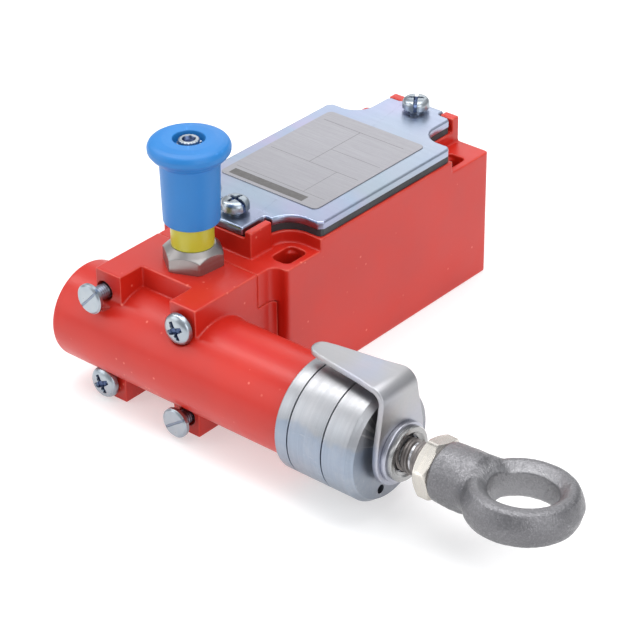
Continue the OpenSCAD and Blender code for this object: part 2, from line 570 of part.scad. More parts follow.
module contact_plunger() {
    y0 = ty + shaft_r + 0.35;
    color([0.70, 0.68, 0.62]) ay(0, y0, tz) rotate_extrude($fn = 48) polygon(concat([[0, 0]], [for (i = [1:6]) let (a = i * 15) [1.75 * sin(a), 1.75 * (1 - cos(a))]], [[1.75, -28.2 - y0], [0, -28.2 - y0]]));
}
module contact_carrier() {
    color([0.80, 0.78, 0.72]) difference() {
        translate([-3, -28.2, 13.6]) cube([6, 34.2, 6.2]);
        for (yc = [-10.5, 3.5]) translate([-4, yc - 0.5, 14.6]) cube([8, 1, 4]);
    }
}
module contact_bridges() {
    color([0.80, 0.66, 0.35]) for (yc = [-10.5, 3.5]) translate([-12, yc - 0.5, 14.6]) cube([24, 1, 4]);
}

enclosure();
cover_gasket();
cover_plate();
cover_screws();
rating_label();
head_housing();
head_gasket();
head_screws_seated();
head_screws_proud();
end_sleeve();
guide_bush();
wiper_seal();
plunger_bush();
hex_bush();
yellow_sleeve();
contact_block();
block_screws();
fixed_contacts();
terminal_clamps();
terminal_screws();
earth_screw();
main_spring();
reset_spring();
latch_spring();
contact_spring();
pull_shaft();
spring_seat();
indicator_bracket();
flat_washer();
retaining_ring();
lock_nut();
eye_nut();
reset_stem();
latch_wedge();
reset_knob();
knob_washer();
knob_screw();
latch_slider();
contact_plunger();
contact_carrier();
contact_bridges();
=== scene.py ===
import math

import bmesh
import bpy
import numpy as np
from mathutils import Matrix, Vector


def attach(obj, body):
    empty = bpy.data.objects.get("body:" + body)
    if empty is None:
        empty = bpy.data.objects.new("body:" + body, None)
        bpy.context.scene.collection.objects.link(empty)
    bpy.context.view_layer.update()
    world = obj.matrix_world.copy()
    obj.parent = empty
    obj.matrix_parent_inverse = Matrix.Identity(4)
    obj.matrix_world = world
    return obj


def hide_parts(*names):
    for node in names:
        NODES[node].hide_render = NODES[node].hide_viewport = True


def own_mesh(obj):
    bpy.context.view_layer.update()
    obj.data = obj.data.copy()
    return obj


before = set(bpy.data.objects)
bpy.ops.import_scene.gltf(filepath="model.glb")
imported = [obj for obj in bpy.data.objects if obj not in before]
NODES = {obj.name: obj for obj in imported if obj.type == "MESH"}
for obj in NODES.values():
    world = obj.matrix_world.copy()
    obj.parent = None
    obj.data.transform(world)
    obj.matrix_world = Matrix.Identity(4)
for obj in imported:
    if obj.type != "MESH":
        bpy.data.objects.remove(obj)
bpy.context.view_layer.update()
MM = 0.001

# ---- the shared numbers, in mm in the CAD's frame
TY, TZ = -56.2, 16.6          # pull shaft axis
KX, KY = 0.0, -46.3           # reset axis
DECK = 34.0
GAS_Z, TOP_Z = 38.9, 40.9
scene = bpy.context.scene
rng = np.random.default_rng(7)


# ------------------------------------------------------------------ mesh help
def sharpen(ob, angle=32):
    bm = bmesh.new()
    bm.from_mesh(ob.data)
    bmesh.ops.recalc_face_normals(bm, faces=bm.faces)
    lim = math.radians(angle)
    for f in bm.faces:
        f.smooth = True
    for e in bm.edges:
        if len(e.link_faces) == 2:
            e.smooth = e.calc_face_angle(0) <= lim
    bm.to_mesh(ob.data)
    bm.free()


def make(name, verts, faces, angle=32, sharp=True):
    me = bpy.data.meshes.new(name)
    me.from_pydata([(float(v[0]) * MM, float(v[1]) * MM, float(v[2]) * MM) for v in verts], [], faces)
    me.validate()
    ob = bpy.data.objects.new(name, me)
    scene.collection.objects.link(ob)
    if sharp:
        sharpen(ob, angle)
    return ob


def put(ob, body, slot, mat, *nodes):
    ob.data.materials.clear()
    ob.data.materials.append(mat)
    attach(ob, body)
    if nodes:
        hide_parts(*nodes)
    return ob


def fillet(pts, radii, k=5, closed=False):
    """Rounds the corners of a 2-D line; radii is one number or one per point."""
    n = len(pts)
    if not hasattr(radii, "__len__"):
        radii = [radii] * n
    out = []
    for i in range(n):
        p = np.array(pts[i], float)
        if radii[i] <= 0 or (not closed and i in (0, n - 1)):
            out.append(tuple(p))
            continue
        a = np.array(pts[i - 1], float) - p
        b = np.array(pts[(i + 1) % n], float) - p
        la, lb = np.linalg.norm(a), np.linalg.norm(b)
        if la < 1e-9 or lb < 1e-9:
            out.append(tuple(p))
            continue
        a, b = a / la, b / lb
        cosang = float(np.clip(a @ b, -1, 1))
        half = math.acos(cosang) / 2
        if half > math.radians(88):
            out.append(tuple(p))
            continue
        t = min(radii[i] / math.tan(half), la * 0.48, lb * 0.48)
        r = t * math.tan(half)
        c = p + (a + b) / np.linalg.norm(a + b) * (r / math.sin(half))
        s = p + a * t - c
        e = p + b * t - c
        a0 = math.atan2(s[1], s[0])
        a1 = math.atan2(e[1], e[0])
        d = (a1 - a0 + math.pi) % (2 * math.pi) - math.pi
        for j in range(k + 1):
            w = a0 + d * j / k
            out.append((c[0] + r * math.cos(w), c[1] + r * math.sin(w)))
    return out


def on_x(r, a, h):
    return (h, TY + r * math.cos(a), TZ + r * math.sin(a))


def on_z(r, a, h):
    return (KX + r * math.cos(a), KY + r * math.sin(a), h)


def lathe(name, prof, place, n=144, ring=False, angle=32):
    """prof is (r, h) points. ring: closed loop of the profile, else both ends lie on the axis."""
    verts, faces, rows = [], [], []
    for r, h in prof:
        if r < 1e-6:
            rows.append([len(verts)])
            verts.append(place(0, 0, h))
        else:
            rows.append(list(range(len(verts), len(verts) + n)))
            verts += [place(r, 2 * math.pi * i / n, h) for i in range(n)]
    m = len(rows)
    for k in range(m if ring else m - 1):
        a, b = rows[k], rows[(k + 1) % m]
        for i in range(n):
            j = (i + 1) % n
            if len(a) == 1 and len(b) == 1:
                continue
            if len(a) == 1:
                faces.append((a[0], b[j], b[i]))
            elif len(b) == 1:
                faces.append((a[i], a[j], b[0]))
            else:
                faces.append((a[i], a[j], b[j], b[i]))
    return make(name, verts, faces, angle)


def loft(name, loops, caps=(True, True), angle=32):
    """Joins loops of the same number of points, in order."""
    verts, faces = [], []
    n = len(loops[0])
    for lp in loops:
        verts += list(lp)
    for k in range(len(loops) - 1):
        for i in range(n):
            j = (i + 1) % n
            faces.append((k * n + i, k * n + j, (k + 1) * n + j, (k + 1) * n + i))
    if caps[0]:
        faces.append(tuple(range(n - 1, -1, -1)))
    if caps[1]:
        faces.append(tuple(range((len(loops) - 1) * n, len(loops) * n)))
    return make(name, verts, faces, angle)


def inset2d(pts, d):
    """Moves a counter-clockwise closed outline inwards by d."""
    p = np.array(pts, float)
    e0 = p - np.roll(p, 1, 0)
    e1 = np.roll(p, -1, 0) - p
    e0 /= np.maximum(np.linalg.norm(e0, axis=1, keepdims=True), 1e-9)
    e1 /= np.maximum(np.linalg.norm(e1, axis=1, keepdims=True), 1e-9)
    n0 = np.stack([-e0[:, 1], e0[:, 0]], 1)
    n1 = np.stack([-e1[:, 1], e1[:, 0]], 1)
    m = n0 + n1
    m /= np.maximum(np.linalg.norm(m, axis=1, keepdims=True), 1e-9)
    c = np.clip((m * n0).sum(1, keepdims=True), 0.5, 1)
    q = p + m * d / c
    n = len(p)
    for _ in range(4):           # corners tighter than d fold over: close them to a point
        de = np.roll(q, -1, 0) - q
        bad = (de * (np.roll(p, -1, 0) - p)).sum(1) < 0
        if not bad.any():
            break
        i = int(np.argmin(bad))
        k = 0
        while k < n:
            a = (i + k) % n
            if bad[a]:
                run = [a]
                while bad[run[-1]] and k < n:
                    run.append((run[-1] + 1) % n)
                    k += 1
                q[run] = (q[run[0]] + q[run[-1]]) / 2
            else:
                k += 1
    return q


def sheet_metal(name, outline, z0, z1, r_top, r_bot=0.1, k=6, angle=25):
    """A flat plate with a rounded top edge."""
    loops = [[(x, y, z0) for x, y in inset2d(outline, r_bot + 0.12)]]
    for j in range(3):
        w = j / 2 * math.pi / 2
        q = inset2d(outline, r_bot * (1 - math.sin(w)))
        loops.append([(x, y, z0 + r_bot * (1 - math.cos(w))) for x, y in q])
    for j in range(k + 1):
        w = j / k * math.pi / 2
        q = inset2d(outline, r_top * (1 - math.cos(w)))
        loops.append([(x, y, z1 - r_top * (1 - math.sin(w))) for x, y in q])
    loops.append([(x, y, z1) for x, y in inset2d(outline, r_top + 0.05)])
    ob = loft(name, loops, angle=angle)
    bm = bmesh.new()
    bm.from_mesh(ob.data)
    bmesh.ops.remove_doubles(bm, verts=bm.verts, dist=3e-6)
    bm.to_mesh(ob.data)
    bm.free()
    sharpen(ob, angle)
    for f in ob.data.polygons:
        if len(f.vertices) > 4:
            f.use_smooth = False
    return ob


def arc(cx, cy, r, a0, a1, n):
    return [(cx + r * math.cos(math.radians(a0 + (a1 - a0) * i / n)), cy + r * math.sin(math.radians(a0 + (a1 - a0) * i / n))) for i in range(n + 1)]


def join(name, parts):
    dg = bpy.context.evaluated_depsgraph_get()
    bm = bmesh.new()
    for o in parts:
        o2 = o.evaluated_get(dg)
        me = o2.to_mesh()
        bm.from_mesh(me)
        o2.to_mesh_clear()
    me = bpy.data.meshes.new(name)
    bm.to_mesh(me)
    bm.free()
    for o in parts:
        bpy.data.objects.remove(o)
    ob = bpy.data.objects.new(name, me)
    scene.collection.objects.link(ob)
    return ob


def apply_mods(ob):
    bpy.context.view_layer.update()
    dg = bpy.context.evaluated_depsgraph_get()
    me = bpy.data.meshes.new_from_object(ob.evaluated_get(dg))
    ob.modifiers.clear()
    old = ob.data
    ob.data = me
    bpy.data.meshes.remove(old)
    return ob


def soften(name, node, voxel, rounds, ratio=None, extra=()):
    """A casting's own shape with its edges and corners rounded, as a thick enamel leaves them."""
    me = NODES[node].data.copy()
    ob = bpy.data.objects.new(name, me)
    scene.collection.objects.link(ob)
    bm = bmesh.new()
    bm.from_mesh(me)
    bmesh.ops.remove_doubles(bm, verts=bm.verts, dist=1e-6)
    bm.to_mesh(me)
    bm.free()
    m = ob.modifiers.new("remesh", "REMESH")
    m.mode = "VOXEL"
    m.voxel_size = voxel * MM
    m.adaptivity = 0
    s = ob.modifiers.new("smooth", "SMOOTH")
    s.factor = 0.5
    s.iterations = rounds
    if ratio:
        d = ob.modifiers.new("decimate", "DECIMATE")
        d.ratio = ratio
    apply_mods(ob)
    for p in ob.data.polygons:
        p.use_smooth = True
    return ob


# ------------------------------------------------------------- material help
class Mat:
    """A Principled material whose colour, roughness and bump come from nodes."""

    def __init__(self, name):
        self.m = bpy.data.materials.new(name)
        self.m.use_nodes = True
        self.t = self.m.node_tree
        self.p = self.t.nodes["Principled BSDF"]
        self.tc = self.t.nodes.new("ShaderNodeTexCoord")
        self.out = self.tc.outputs["Object"]

    def node(self, kind, **kw):
        n = self.t.nodes.new(kind)
        for k, v in kw.items():
            setattr(n, k, v)
        return n

    def link(self, a, b):
        self.t.links.new(a, b)

    def coords(self, scale=(1, 1, 1), loc=(0, 0, 0), rot=(0, 0, 0)):
        n = self.node("ShaderNodeMapping")
        n.inputs["Scale"].default_value = scale
        n.inputs["Location"].default_value = loc
        n.inputs["Rotation"].default_value = rot
        self.link(self.out, n.inputs["Vector"])
        return n.outputs["Vector"]

    def noise(self, scale, detail=3, rough=0.5, vec=None, dist=0.0):
        n = self.node("ShaderNodeTexNoise")
        n.inputs["Scale"].default_value = scale
        n.inputs["Detail"].default_value = detail
        n.inputs["Roughness"].default_value = rough
        n.inputs["Distortion"].default_value = dist
        self.link(vec if vec is not None else self.out, n.inputs["Vector"])
        return n.outputs["Fac"]

    def cells(self, scale, vec=None, feature="F1", out="Distance"):
        n = self.node("ShaderNodeTexVoronoi")
        n.feature = feature
        n.inputs["Scale"].default_value = scale
        self.link(vec if vec is not None else self.out, n.inputs["Vector"])
        return n.outputs[out]

    def ramp(self, fac, stops):
        n = self.node("ShaderNodeValToRGB")
        els = n.color_ramp.elements
        while len(els) < len(stops):
            els.new(0.5)
        for e, (pos, col) in zip(els, stops):
            e.position = pos
            e.color = (*col, 1) if hasattr(col, "__len__") else (col, col, col, 1)
        self.link(fac, n.inputs["Fac"])
        return n.outputs["Color"]

    def rng(self, fac, a, b, c, d):
        n = self.node("ShaderNodeMapRange")
        for k, v in zip(("From Min", "From Max", "To Min", "To Max"), (a, b, c, d)):
            n.inputs[k].default_value = v
        self.link(fac, n.inputs["Value"])
        return n.outputs["Result"]

    def math(self, op, a, b=None):
        n = self.node("ShaderNodeMath", operation=op)
        for i, v in enumerate((a, b)):
            if v is None:
                continue
            if isinstance(v, (int, float)):
                n.inputs[i].default_value = v
            else:
                self.link(v, n.inputs[i])
        return n.outputs[0]

    def mix(self, fac, a, b, blend="MIX"):
        n = self.node("ShaderNodeMix", data_type="RGBA", blend_type=blend)
        for i, v in ((0, fac), (6, a), (7, b)):
            if isinstance(v, (int, float)):
                n.inputs[i].default_value = v
            elif isinstance(v, tuple):
                n.inputs[i].default_value = (*v, 1)
            else:
                self.link(v, n.inputs[i])
        return n.outputs[2]

    def bump(self, height, strength=0.2, dist=0.1, normal=None):
        n = self.node("ShaderNodeBump")
        n.inputs["Strength"].default_value = strength
        n.inputs["Distance"].default_value = dist * MM
        self.link(height, n.inputs["Height"])
        if normal is not None:
            self.link(normal, n.inputs["Normal"])
        return n.outputs["Normal"]

    def set(self, color=None, rough=None, normal=None, **kw):
        for key, v in (("Base Color", color), ("Roughness", rough), ("Normal", normal)):
            if v is None:
                continue
            if isinstance(v, (int, float)):
                self.p.inputs[key].default_value = v
            elif isinstance(v, tuple):
                self.p.inputs[key].default_value = (*v, 1)
            else:
                self.link(v, self.p.inputs[key])
        for k, v in kw.items():
            self.p.inputs[k.replace("_", " ")].default_value = v
        return self.m


def edge_wear_and_highlight(M, lo=0.53, hi=0.6):
    """Bright where the surface turns outwards sharply: worn edges on the castings and plastics, a painted highlight
    along edges and thread crests on turned metal.
    """
    g = M.node("ShaderNodeNewGeometry")
    return M.rng(g.outputs["Pointiness"], lo, hi, 0, 1)


def red_enamel():
    M = Mat("red_enamel")
    big = M.noise(60, 3)
    fine = M.noise(900, 4, 0.6)
    col = M.ramp(big, [(0.3, (0.50, 0.014, 0.006)), (0.7, (0.57, 0.019, 0.008))])
    # dust and small pale specks in the enamel
    d = M.cells(330)
    pick = M.noise(140, 2, 0.6)
    speck = M.math("MULTIPLY", M.rng(d, 0.05, 0.13, 1, 0), M.rng(pick, 0.50, 0.58, 0, 1))
    col = M.mix(M.math("MULTIPLY", speck, 0.45), col, (0.90, 0.28, 0.20))
    wear_and_highlight = edge_wear_and_highlight(M, 0.515, 0.585)
    wear_and_highlight = M.math("MULTIPLY", wear_and_highlight, M.rng(M.noise(220, 4), 0.35, 0.7, 0.2, 0.75))
    col = M.mix(wear_and_highlight, col, (0.86, 0.22, 0.15))
    h = M.math("ADD", M.math("MULTIPLY", M.noise(420, 2), 0.9), M.math("MULTIPLY", fine, 0.22))
    h = M.math("ADD", h, M.math("MULTIPLY", speck, 0.35))
    n = M.bump(h, 0.35, 0.035)
    r = M.rng(M.noise(120, 4), 0.3, 0.7, 0.32, 0.44)
    return M.set(col, r, n, Specular_IOR_Level=0.4, Coat_Weight=0.12, Coat_Roughness=0.25)


def zinc(name, base, lav, green, rough=0.30, scale=34, far=0.0):
    """Blue-passivated zinc: a satin metal whose tint drifts between blue, lilac and grey."""
    M = Mat(name)
    a = M.noise(scale, 2, 0.5, dist=0.6)
    b = M.noise(scale * 0.6, 2, 0.5, vec=M.coords(loc=(0.31, 0.17, 0.2)), dist=0.4)
    col = M.ramp(a, [(0.32, lav), (0.5, base), (0.68, lav)])
    col = M.mix(M.rng(b, 0.45, 0.62, 0, 0.8), col, green)
    grain = M.noise(900, 3, 0.7)
    scr = M.noise(60, 4, 0.75, vec=M.coords(scale=(1, 26, 26)))
    col = M.mix(M.rng(grain, 0.4, 0.75, 0, 0.10), col, (0.45, 0.47, 0.52))
    # painted reflection: the plate's near end is painted darker and its far end lighter and more lilac
    if far:
        sep = M.node("ShaderNodeSeparateXYZ")
        M.link(M.out, sep.inputs[0])
        col = M.mix(M.rng(sep.outputs[1], -0.036, -0.012, 0.16, 0.0), col, (0.20, 0.21, 0.25))
        col = M.mix(M.rng(sep.outputs[1], -0.004, 0.034, 0.0, far), col, (0.56, 0.60, 0.80))
    r = M.math("ADD", M.rng(scr, 0.3, 0.7, rough - 0.04, rough + 0.07), M.rng(grain, 0.3, 0.7, -0.02, 0.03))
    h = M.math("ADD", M.math("MULTIPLY", grain, 0.5), M.math("MULTIPLY", scr, 0.5))
    return M.set(col, r, M.bump(h, 0.16, 0.02), Metallic=1.0)


def turned(name, c0, c1, rough=0.24, rings=2600, axis="x", strength=0.10, metallic=1.0):
    """Metal turned about the pull axis, with fine rings and a soft tint."""
    M = Mat(name)
    sc = {"x": (rings / 100, 0.4, 0.4), "z": (0.4, 0.4, rings / 100)}[axis]
    ring = M.noise(100, 3, 0.7, vec=M.coords(scale=sc))
    tint = M.noise(40, 2, 0.5, dist=0.5)
    col = M.ramp(tint, [(0.35, c0), (0.65, c1)])
    col = M.mix(M.rng(ring, 0.35, 0.65, 0.0, 0.16), col, (0.40, 0.41, 0.44))
    stain = M.noise(150, 5, 0.6)
    col = M.mix(M.rng(stain, 0.42, 0.75, 0.0, 0.22), col, tuple(min(1, q * 1.35) for q in c1))
    scr = M.noise(70, 4, 0.8, vec=M.coords(scale=(1, 18, 5), rot=(0.3, 0.2, 0.6)))
    col = M.mix(M.rng(scr, 0.62, 0.74, 0.0, 0.25), col, tuple(min(1, q * 1.5) for q in c1))
    # painted highlight: sharp edges and thread crests are painted in a paler tint of the metal
    wear_and_highlight = edge_wear_and_highlight(M, 0.53, 0.60)
    col = M.mix(M.math("MULTIPLY", wear_and_highlight, M.rng(stain, 0.35, 0.6, 0.35, 0.8)), col, tuple(min(1, 0.25 + q * 1.3) for q in c1))
    r = M.math("ADD", M.rng(ring, 0.3, 0.7, rough - 0.05, rough + 0.08), M.rng(stain, 0.4, 0.8, 0, 0.06))
    return M.set(col, r, M.bump(ring, strength, 0.02), Metallic=metallic)


def sleeve_zinc():
    """Turned and blue-passivated, with painted light: bright above, darker at the bottom; a bluish patch low on the
    side, fine scratches.
    """
    M = Mat("turned_zinc")
    sep = M.node("ShaderNodeSeparateXYZ")
    M.link(M.out, sep.inputs[0])
    ang = M.math("ARCTAN2", M.math("SUBTRACT", sep.outputs[2], TZ * MM), M.math("MULTIPLY", M.math("SUBTRACT", sep.outputs[1], TY * MM), -1.0))
    wob = M.rng(M.noise(90, 3, 0.6), 0.3, 0.7, -0.16, 0.16)
    ang = M.math("ADD", ang, wob)                   # 0 towards -Y, pi/2 upwards
    # painted light by angle round the axis: dark at the bottom, bright near the top, with a bluish patch low on the
    # front side
    band = M.rng(ang, -1.4, 1.8, 0, 1)
    col = M.ramp(band, [(0.0, (0.26, 0.275, 0.31)), (0.30, (0.29, 0.335, 0.40)), (0.53, (0.32, 0.375, 0.46)), (0.56, (0.39, 0.41, 0.44)), (0.82, (0.42, 0.42, 0.43)), (1.0, (0.33, 0.34, 0.36))])
    ring = M.noise(100, 3, 0.7, vec=M.coords(scale=(26, 0.4, 0.4)))
    col = M.mix(M.rng(ring, 0.35, 0.65, 0.0, 0.14), col, (0.25, 0.26, 0.29))
    stain = M.noise(160, 5, 0.65)
    col = M.mix(M.rng(stain, 0.45, 0.75, 0.0, 0.30), col, (0.56, 0.54, 0.55))
    scr = M.noise(80, 4, 0.8, vec=M.coords(scale=(1.5, 16, 7), rot=(0.3, 0.2, 0.5)))
    col = M.mix(M.rng(scr, 0.60, 0.72, 0.0, 0.30), col, (0.62, 0.63, 0.66))
    wear_and_highlight = edge_wear_and_highlight(M, 0.53, 0.60)
    col = M.mix(M.math("MULTIPLY", wear_and_highlight, M.rng(stain, 0.35, 0.6, 0.4, 0.9)), col, (0.72, 0.72, 0.72))
    r = M.math("ADD", M.rng(ring, 0.3, 0.7, 0.34, 0.47), M.rng(stain, 0.4, 0.8, 0, 0.07))
    h = M.math("ADD", M.math("MULTIPLY", ring, 0.8), M.math("MULTIPLY", stain, 0.4))
    return M.set(col, r, M.bump(h, 0.08, 0.02), Metallic=1.0)


def plain_metal(name, c, rough=0.3, scale=500, strength=0.12):
    M = Mat(name)
    g = M.noise(scale, 4, 0.65)
    big = M.noise(scale * 0.12, 3)
    dark = tuple(x * 0.78 for x in c)
    col = M.ramp(big, [(0.3, dark), (0.65, c)])
    r = M.rng(g, 0.3, 0.75, rough - 0.06, rough + 0.10)
    return M.set(col, r, M.bump(g, strength, 0.02), Metallic=1.0)


def screw_zinc():
    M = Mat("screw_zinc")
    a = M.node("ShaderNodeAttribute")
    a.attribute_name = "recess"
    g = M.noise(700, 4, 0.65)
    tint = M.noise(180, 2, 0.5)
    col = M.ramp(tint, [(0.35, (0.34, 0.39, 0.44)), (0.65, (0.42, 0.46, 0.49))])
    # painted shade: the recess attribute darkens the driver recesses, the knob screw's socket and the thread under
    # the proud heads to a dark blue
    col = M.mix(M.rng(a.outputs["Fac"], 0.25, 0.95, 0, 0.92), col, (0.065, 0.10, 0.21))
    r = M.rng(g, 0.3, 0.75, 0.27, 0.38)
    return M.set(col, r, M.bump(g, 0.10, 0.02), Metallic=1.0)


def galvanised():
    M = Mat("galvanised")
    grain = M.noise(2300, 2, 0.75)
    mid = M.noise(1150, 3, 0.65)
    lump = M.noise(330, 4, 0.6)
    big = M.noise(70, 4, 0.55)
    col = M.ramp(big, [(0.30, (0.165, 0.163, 0.172)), (0.52, (0.20, 0.198, 0.208)), (0.75, (0.24, 0.238, 0.249))])
    col = M.mix(M.rng(grain, 0.50, 0.72, 0, 0.22), col, (0.55, 0.545, 0.555))
    col = M.mix(M.rng(grain, 0.30, 0.46, 0.22, 0), col, (0.11, 0.11, 0.115))
    col = M.mix(M.rng(lump, 0.28, 0.40, 0.30, 0), col, (0.14, 0.14, 0.145))
    # painted shade: faces turned sideways or downwards are painted darker than faces that look up
    tc = M.node("ShaderNodeTexCoord")
    nz = M.node("ShaderNodeSeparateXYZ")
    M.link(tc.outputs["Normal"], nz.inputs[0])
    side = M.rng(nz.outputs[2], 0.05, 0.50, 0.32, 0.0)
    col = M.mix(side, col, (0.105, 0.104, 0.112))
    # painted light: the bore and the shoulder round it are painted lighter
    pos = M.node("ShaderNodeSeparateXYZ")
    M.link(M.out, pos.inputs[0])
    dx = M.math("SUBTRACT", pos.outputs[0], 101.7 * MM)
    dy = M.math("SUBTRACT", pos.outputs[1], TY * MM)
    rr = M.math("SQRT", M.math("ADD", M.math("MULTIPLY", dx, dx), M.math("MULTIPLY", dy, dy)))
    col = M.mix(M.rng(rr, 8.2 * MM, 10.4 * MM, 0.44, 0.0), col, (0.40, 0.397, 0.41))
    wear_and_highlight = edge_wear_and_highlight(M, 0.505, 0.56)
    col = M.mix(M.math("MULTIPLY", wear_and_highlight, M.rng(grain, 0.4, 0.6, 0.0, 0.30)), col, (0.60, 0.60, 0.61))
    h = M.math("ADD", M.math("MULTIPLY", grain, 0.75), M.math("MULTIPLY", mid, 0.55))
    h = M.math("ADD", h, M.math("MULTIPLY", lump, 0.8))
    r = M.rng(mid, 0.35, 0.7, 0.46, 0.27)
    return M.set(col, r, M.bump(h, 0.9, 0.15), Metallic=0.85)


def plastic(name, c, dark, rough, strength=0.12, scale=1100, sss=0.0):
    M = Mat(name)
    g = M.noise(scale, 3, 0.6)
    big = M.noise(55, 4, 0.55)
    col = M.ramp(big, [(0.3, dark), (0.7, c)])
    wear_and_highlight = M.math("MULTIPLY", edge_wear_and_highlight(M, 0.515, 0.60), M.rng(M.noise(260, 4), 0.35, 0.7, 0.1, 0.5))
    pale = tuple(min(1, x * 1.25 + 0.04) for x in c)
    col = M.mix(wear_and_highlight, col, pale)
    r = M.math("ADD", M.rng(big, 0.3, 0.7, rough - 0.03, rough + 0.05), M.rng(g, 0.3, 0.7, -0.02, 0.03))
    return M.set(col, r, M.bump(g, strength, 0.03), Specular_IOR_Level=0.5, Subsurface_Weight=sss)


def label_foil():
    """Satin foil with thin rule lines and one dark band; no lettering."""
    M = Mat("label_foil")
    sep = M.node("ShaderNodeSeparateXYZ")
    M.link(M.out, sep.inputs[0])
    x, y = sep.outputs[0], sep.outputs[1]

    def line(v, at, w, other=None, a=None, b=None):
        f = M.math("LESS_THAN", M.math("ABSOLUTE", M.math("SUBTRACT", v, at * MM)), w * MM / 2)
        if other is not None:
            f = M.math("MULTIPLY", f, M.math("GREATER_THAN", other, a * MM))
            f = M.math("MULTIPLY", f, M.math("LESS_THAN", other, b * MM))
        return f

    lines = [
        line(y, 17.2, 0.22, x, -14.2, 11.0), line(y, -14.6, 0.18, x, -14.6, 12.8), line(x, -2.5, 0.2, y, -2.2, 17.2),
        line(y, -2.2, 0.2, x, -14.6, 12.8), line(y, 6.0, 0.18, x, -2.5, 12.8), line(x, 6.2, 0.16, y, -14.6, -2.2),
    ]
    f = lines[0]
    for q in lines[1:]:
        f = M.math("MAXIMUM", f, q)
    band = line(y, -17.2, 2.6, x, -13.9, 9.0)
    grain = M.noise(1400, 3, 0.7)
    brush = M.noise(90, 3, 0.7, vec=M.coords(scale=(1, 30, 1)))
    base = M.ramp(brush, [(0.3, (0.325, 0.32, 0.345)), (0.7, (0.38, 0.375, 0.40))])
    base = M.mix(M.rng(y, -19 * MM, 8 * MM, 0.22, 0.0), base, (0.20, 0.195, 0.20))
    col = M.mix(M.math("MULTIPLY", f, 0.75), base, (0.16, 0.155, 0.15))
    col = M.mix(M.math("MULTIPLY", band, M.rng(grain, 0.3, 0.6, 0.82, 0.92)), col, (0.10, 0.095, 0.09))
    r = M.rng(grain, 0.3, 0.7, 0.40, 0.50)
    return M.set(col, r, M.bump(grain, 0.08, 0.02), Metallic=0.55)


def rubber(name="black_rubber"):
    M = Mat(name)
    g = M.noise(1300, 4, 0.7)
    big = M.noise(120, 3)
    col = M.ramp(big, [(0.3, (0.018, 0.020, 0.022)), (0.7, (0.036, 0.038, 0.042))])
    return M.set(col, M.rng(g, 0.3, 0.7, 0.5, 0.68), M.bump(g, 0.3, 0.04))


RED = red_enamel()
HEADS = screw_zinc()
PLATE = zinc("zinc_plate", (0.305, 0.38, 0.50), (0.385, 0.365, 0.51), (0.33, 0.40, 0.45), 0.31, far=0.32)
BRACKET = zinc("zinc_bracket", (0.42, 0.44, 0.51), (0.47, 0.445, 0.49), (0.44, 0.435, 0.43), 0.40, 85)
SCREW = plain_metal("zinc_screw", (0.42, 0.45, 0.49), 0.29, 700, 0.10)
SLEEVE = sleeve_zinc()
WASHER = turned("washer_zinc", (0.40, 0.42, 0.50), (0.45, 0.45, 0.49), 0.28, 1800)
STAIN = turned("stainless", (0.52, 0.475, 0.43), (0.59, 0.545, 0.495), 0.34, 1400, "x", 0.08)
NUT = turned("nickel", (0.58, 0.55, 0.50), (0.70, 0.655, 0.585), 0.22, 1400, "x", 0.05)
RING = turned("ring_steel", (0.33, 0.335, 0.34), (0.40, 0.395, 0.385), 0.26, 1400, "x", 0.06)
STAIN_Z = turned("stainless_turned", (0.29, 0.27, 0.268), (0.335, 0.315, 0.305), 0.36, 1400, "z", 0.12)
ROD = turned("stainless_thread", (0.20, 0.18, 0.17), (0.26, 0.235, 0.225), 0.44, 1600)
GALV = galvanised()
BLUE = plastic("blue_plastic", (0.012, 0.195, 0.545), (0.010, 0.17, 0.485), 0.42, 0.10)
YELLOW = plastic("yellow_plastic", (0.545, 0.515, 0.04), (0.49, 0.46, 0.035), 0.30, 0.10)
BLACKP = plastic("black_plastic", (0.035, 0.035, 0.038), (0.022, 0.022, 0.025), 0.42, 0.2)
WHITEP = plastic("white_plastic", (0.74, 0.71, 0.62), (0.68, 0.65, 0.56), 0.45, 0.15)
LABEL = label_foil()
RUBBER = rubber()
BRONZE = plain_metal("bronze", (0.62, 0.42, 0.20), 0.40, 900, 0.25)
BRASS = plain_metal("contact_brass", (0.80, 0.62, 0.32), 0.26, 600, 0.10)
SPRING = plain_metal("spring_steel", (0.42, 0.43, 0.45), 0.30, 800, 0.12)
GROUND = plain_metal("ground_steel", (0.56, 0.56, 0.58), 0.24, 700, 0.10)

# --------------------------------------------------------------- the castings
enc = soften("enclosure_cast", "enclosure", 0.24, 5)
put(enc, "base", "red_enamel", RED, "enclosure")
head = soften("head_cast", "head_housing", 0.22, 6)
put(head, "base", "red_enamel", RED, "head_housing")


# ------------------------------------------------------------ cover and label
def mirrored(h):
    return h + [(-x, y) for x, y in reversed(h)]


half = (
    [(6.65, -36.7), (6.65, -28.9)]
    + arc(15, -29.8, 6.2, 171, 92, 12)
    + [(18.2, -23.6), (19.3, -22.4), (19.3, 24.4), (18.2, 25.6)]
    + arc(15.2, 31, 5.4, 268, 182, 12)
    + [(9.8, 36.8), (8.9, 37.6), (5.8, 37.6), (5.8, 40.0)]
)
rad = [0.6, 0.7] + [0.4] + [0] * 11 + [0.4] + [0.8, 0.9, 0.9, 0.8] + [0.4] + [0] * 11 + [0.4] + [0.6, 0.6, 0.9, 0.6]
out2 = fillet(mirrored(half), rad + rad[::-1], 5, closed=True)
area = sum(out2[i - 1][0] * out2[i][1] - out2[i][0] * out2[i - 1][1] for i in range(len(out2)))
if area < 0:
    out2 = out2[::-1]
plate = sheet_metal("cover_plate_pressed", out2, GAS_Z + 0.01, TOP_Z - 0.0, 0.62, 0.12, 8)
put(plate, "base", "zinc_plate", PLATE, "cover_plate")

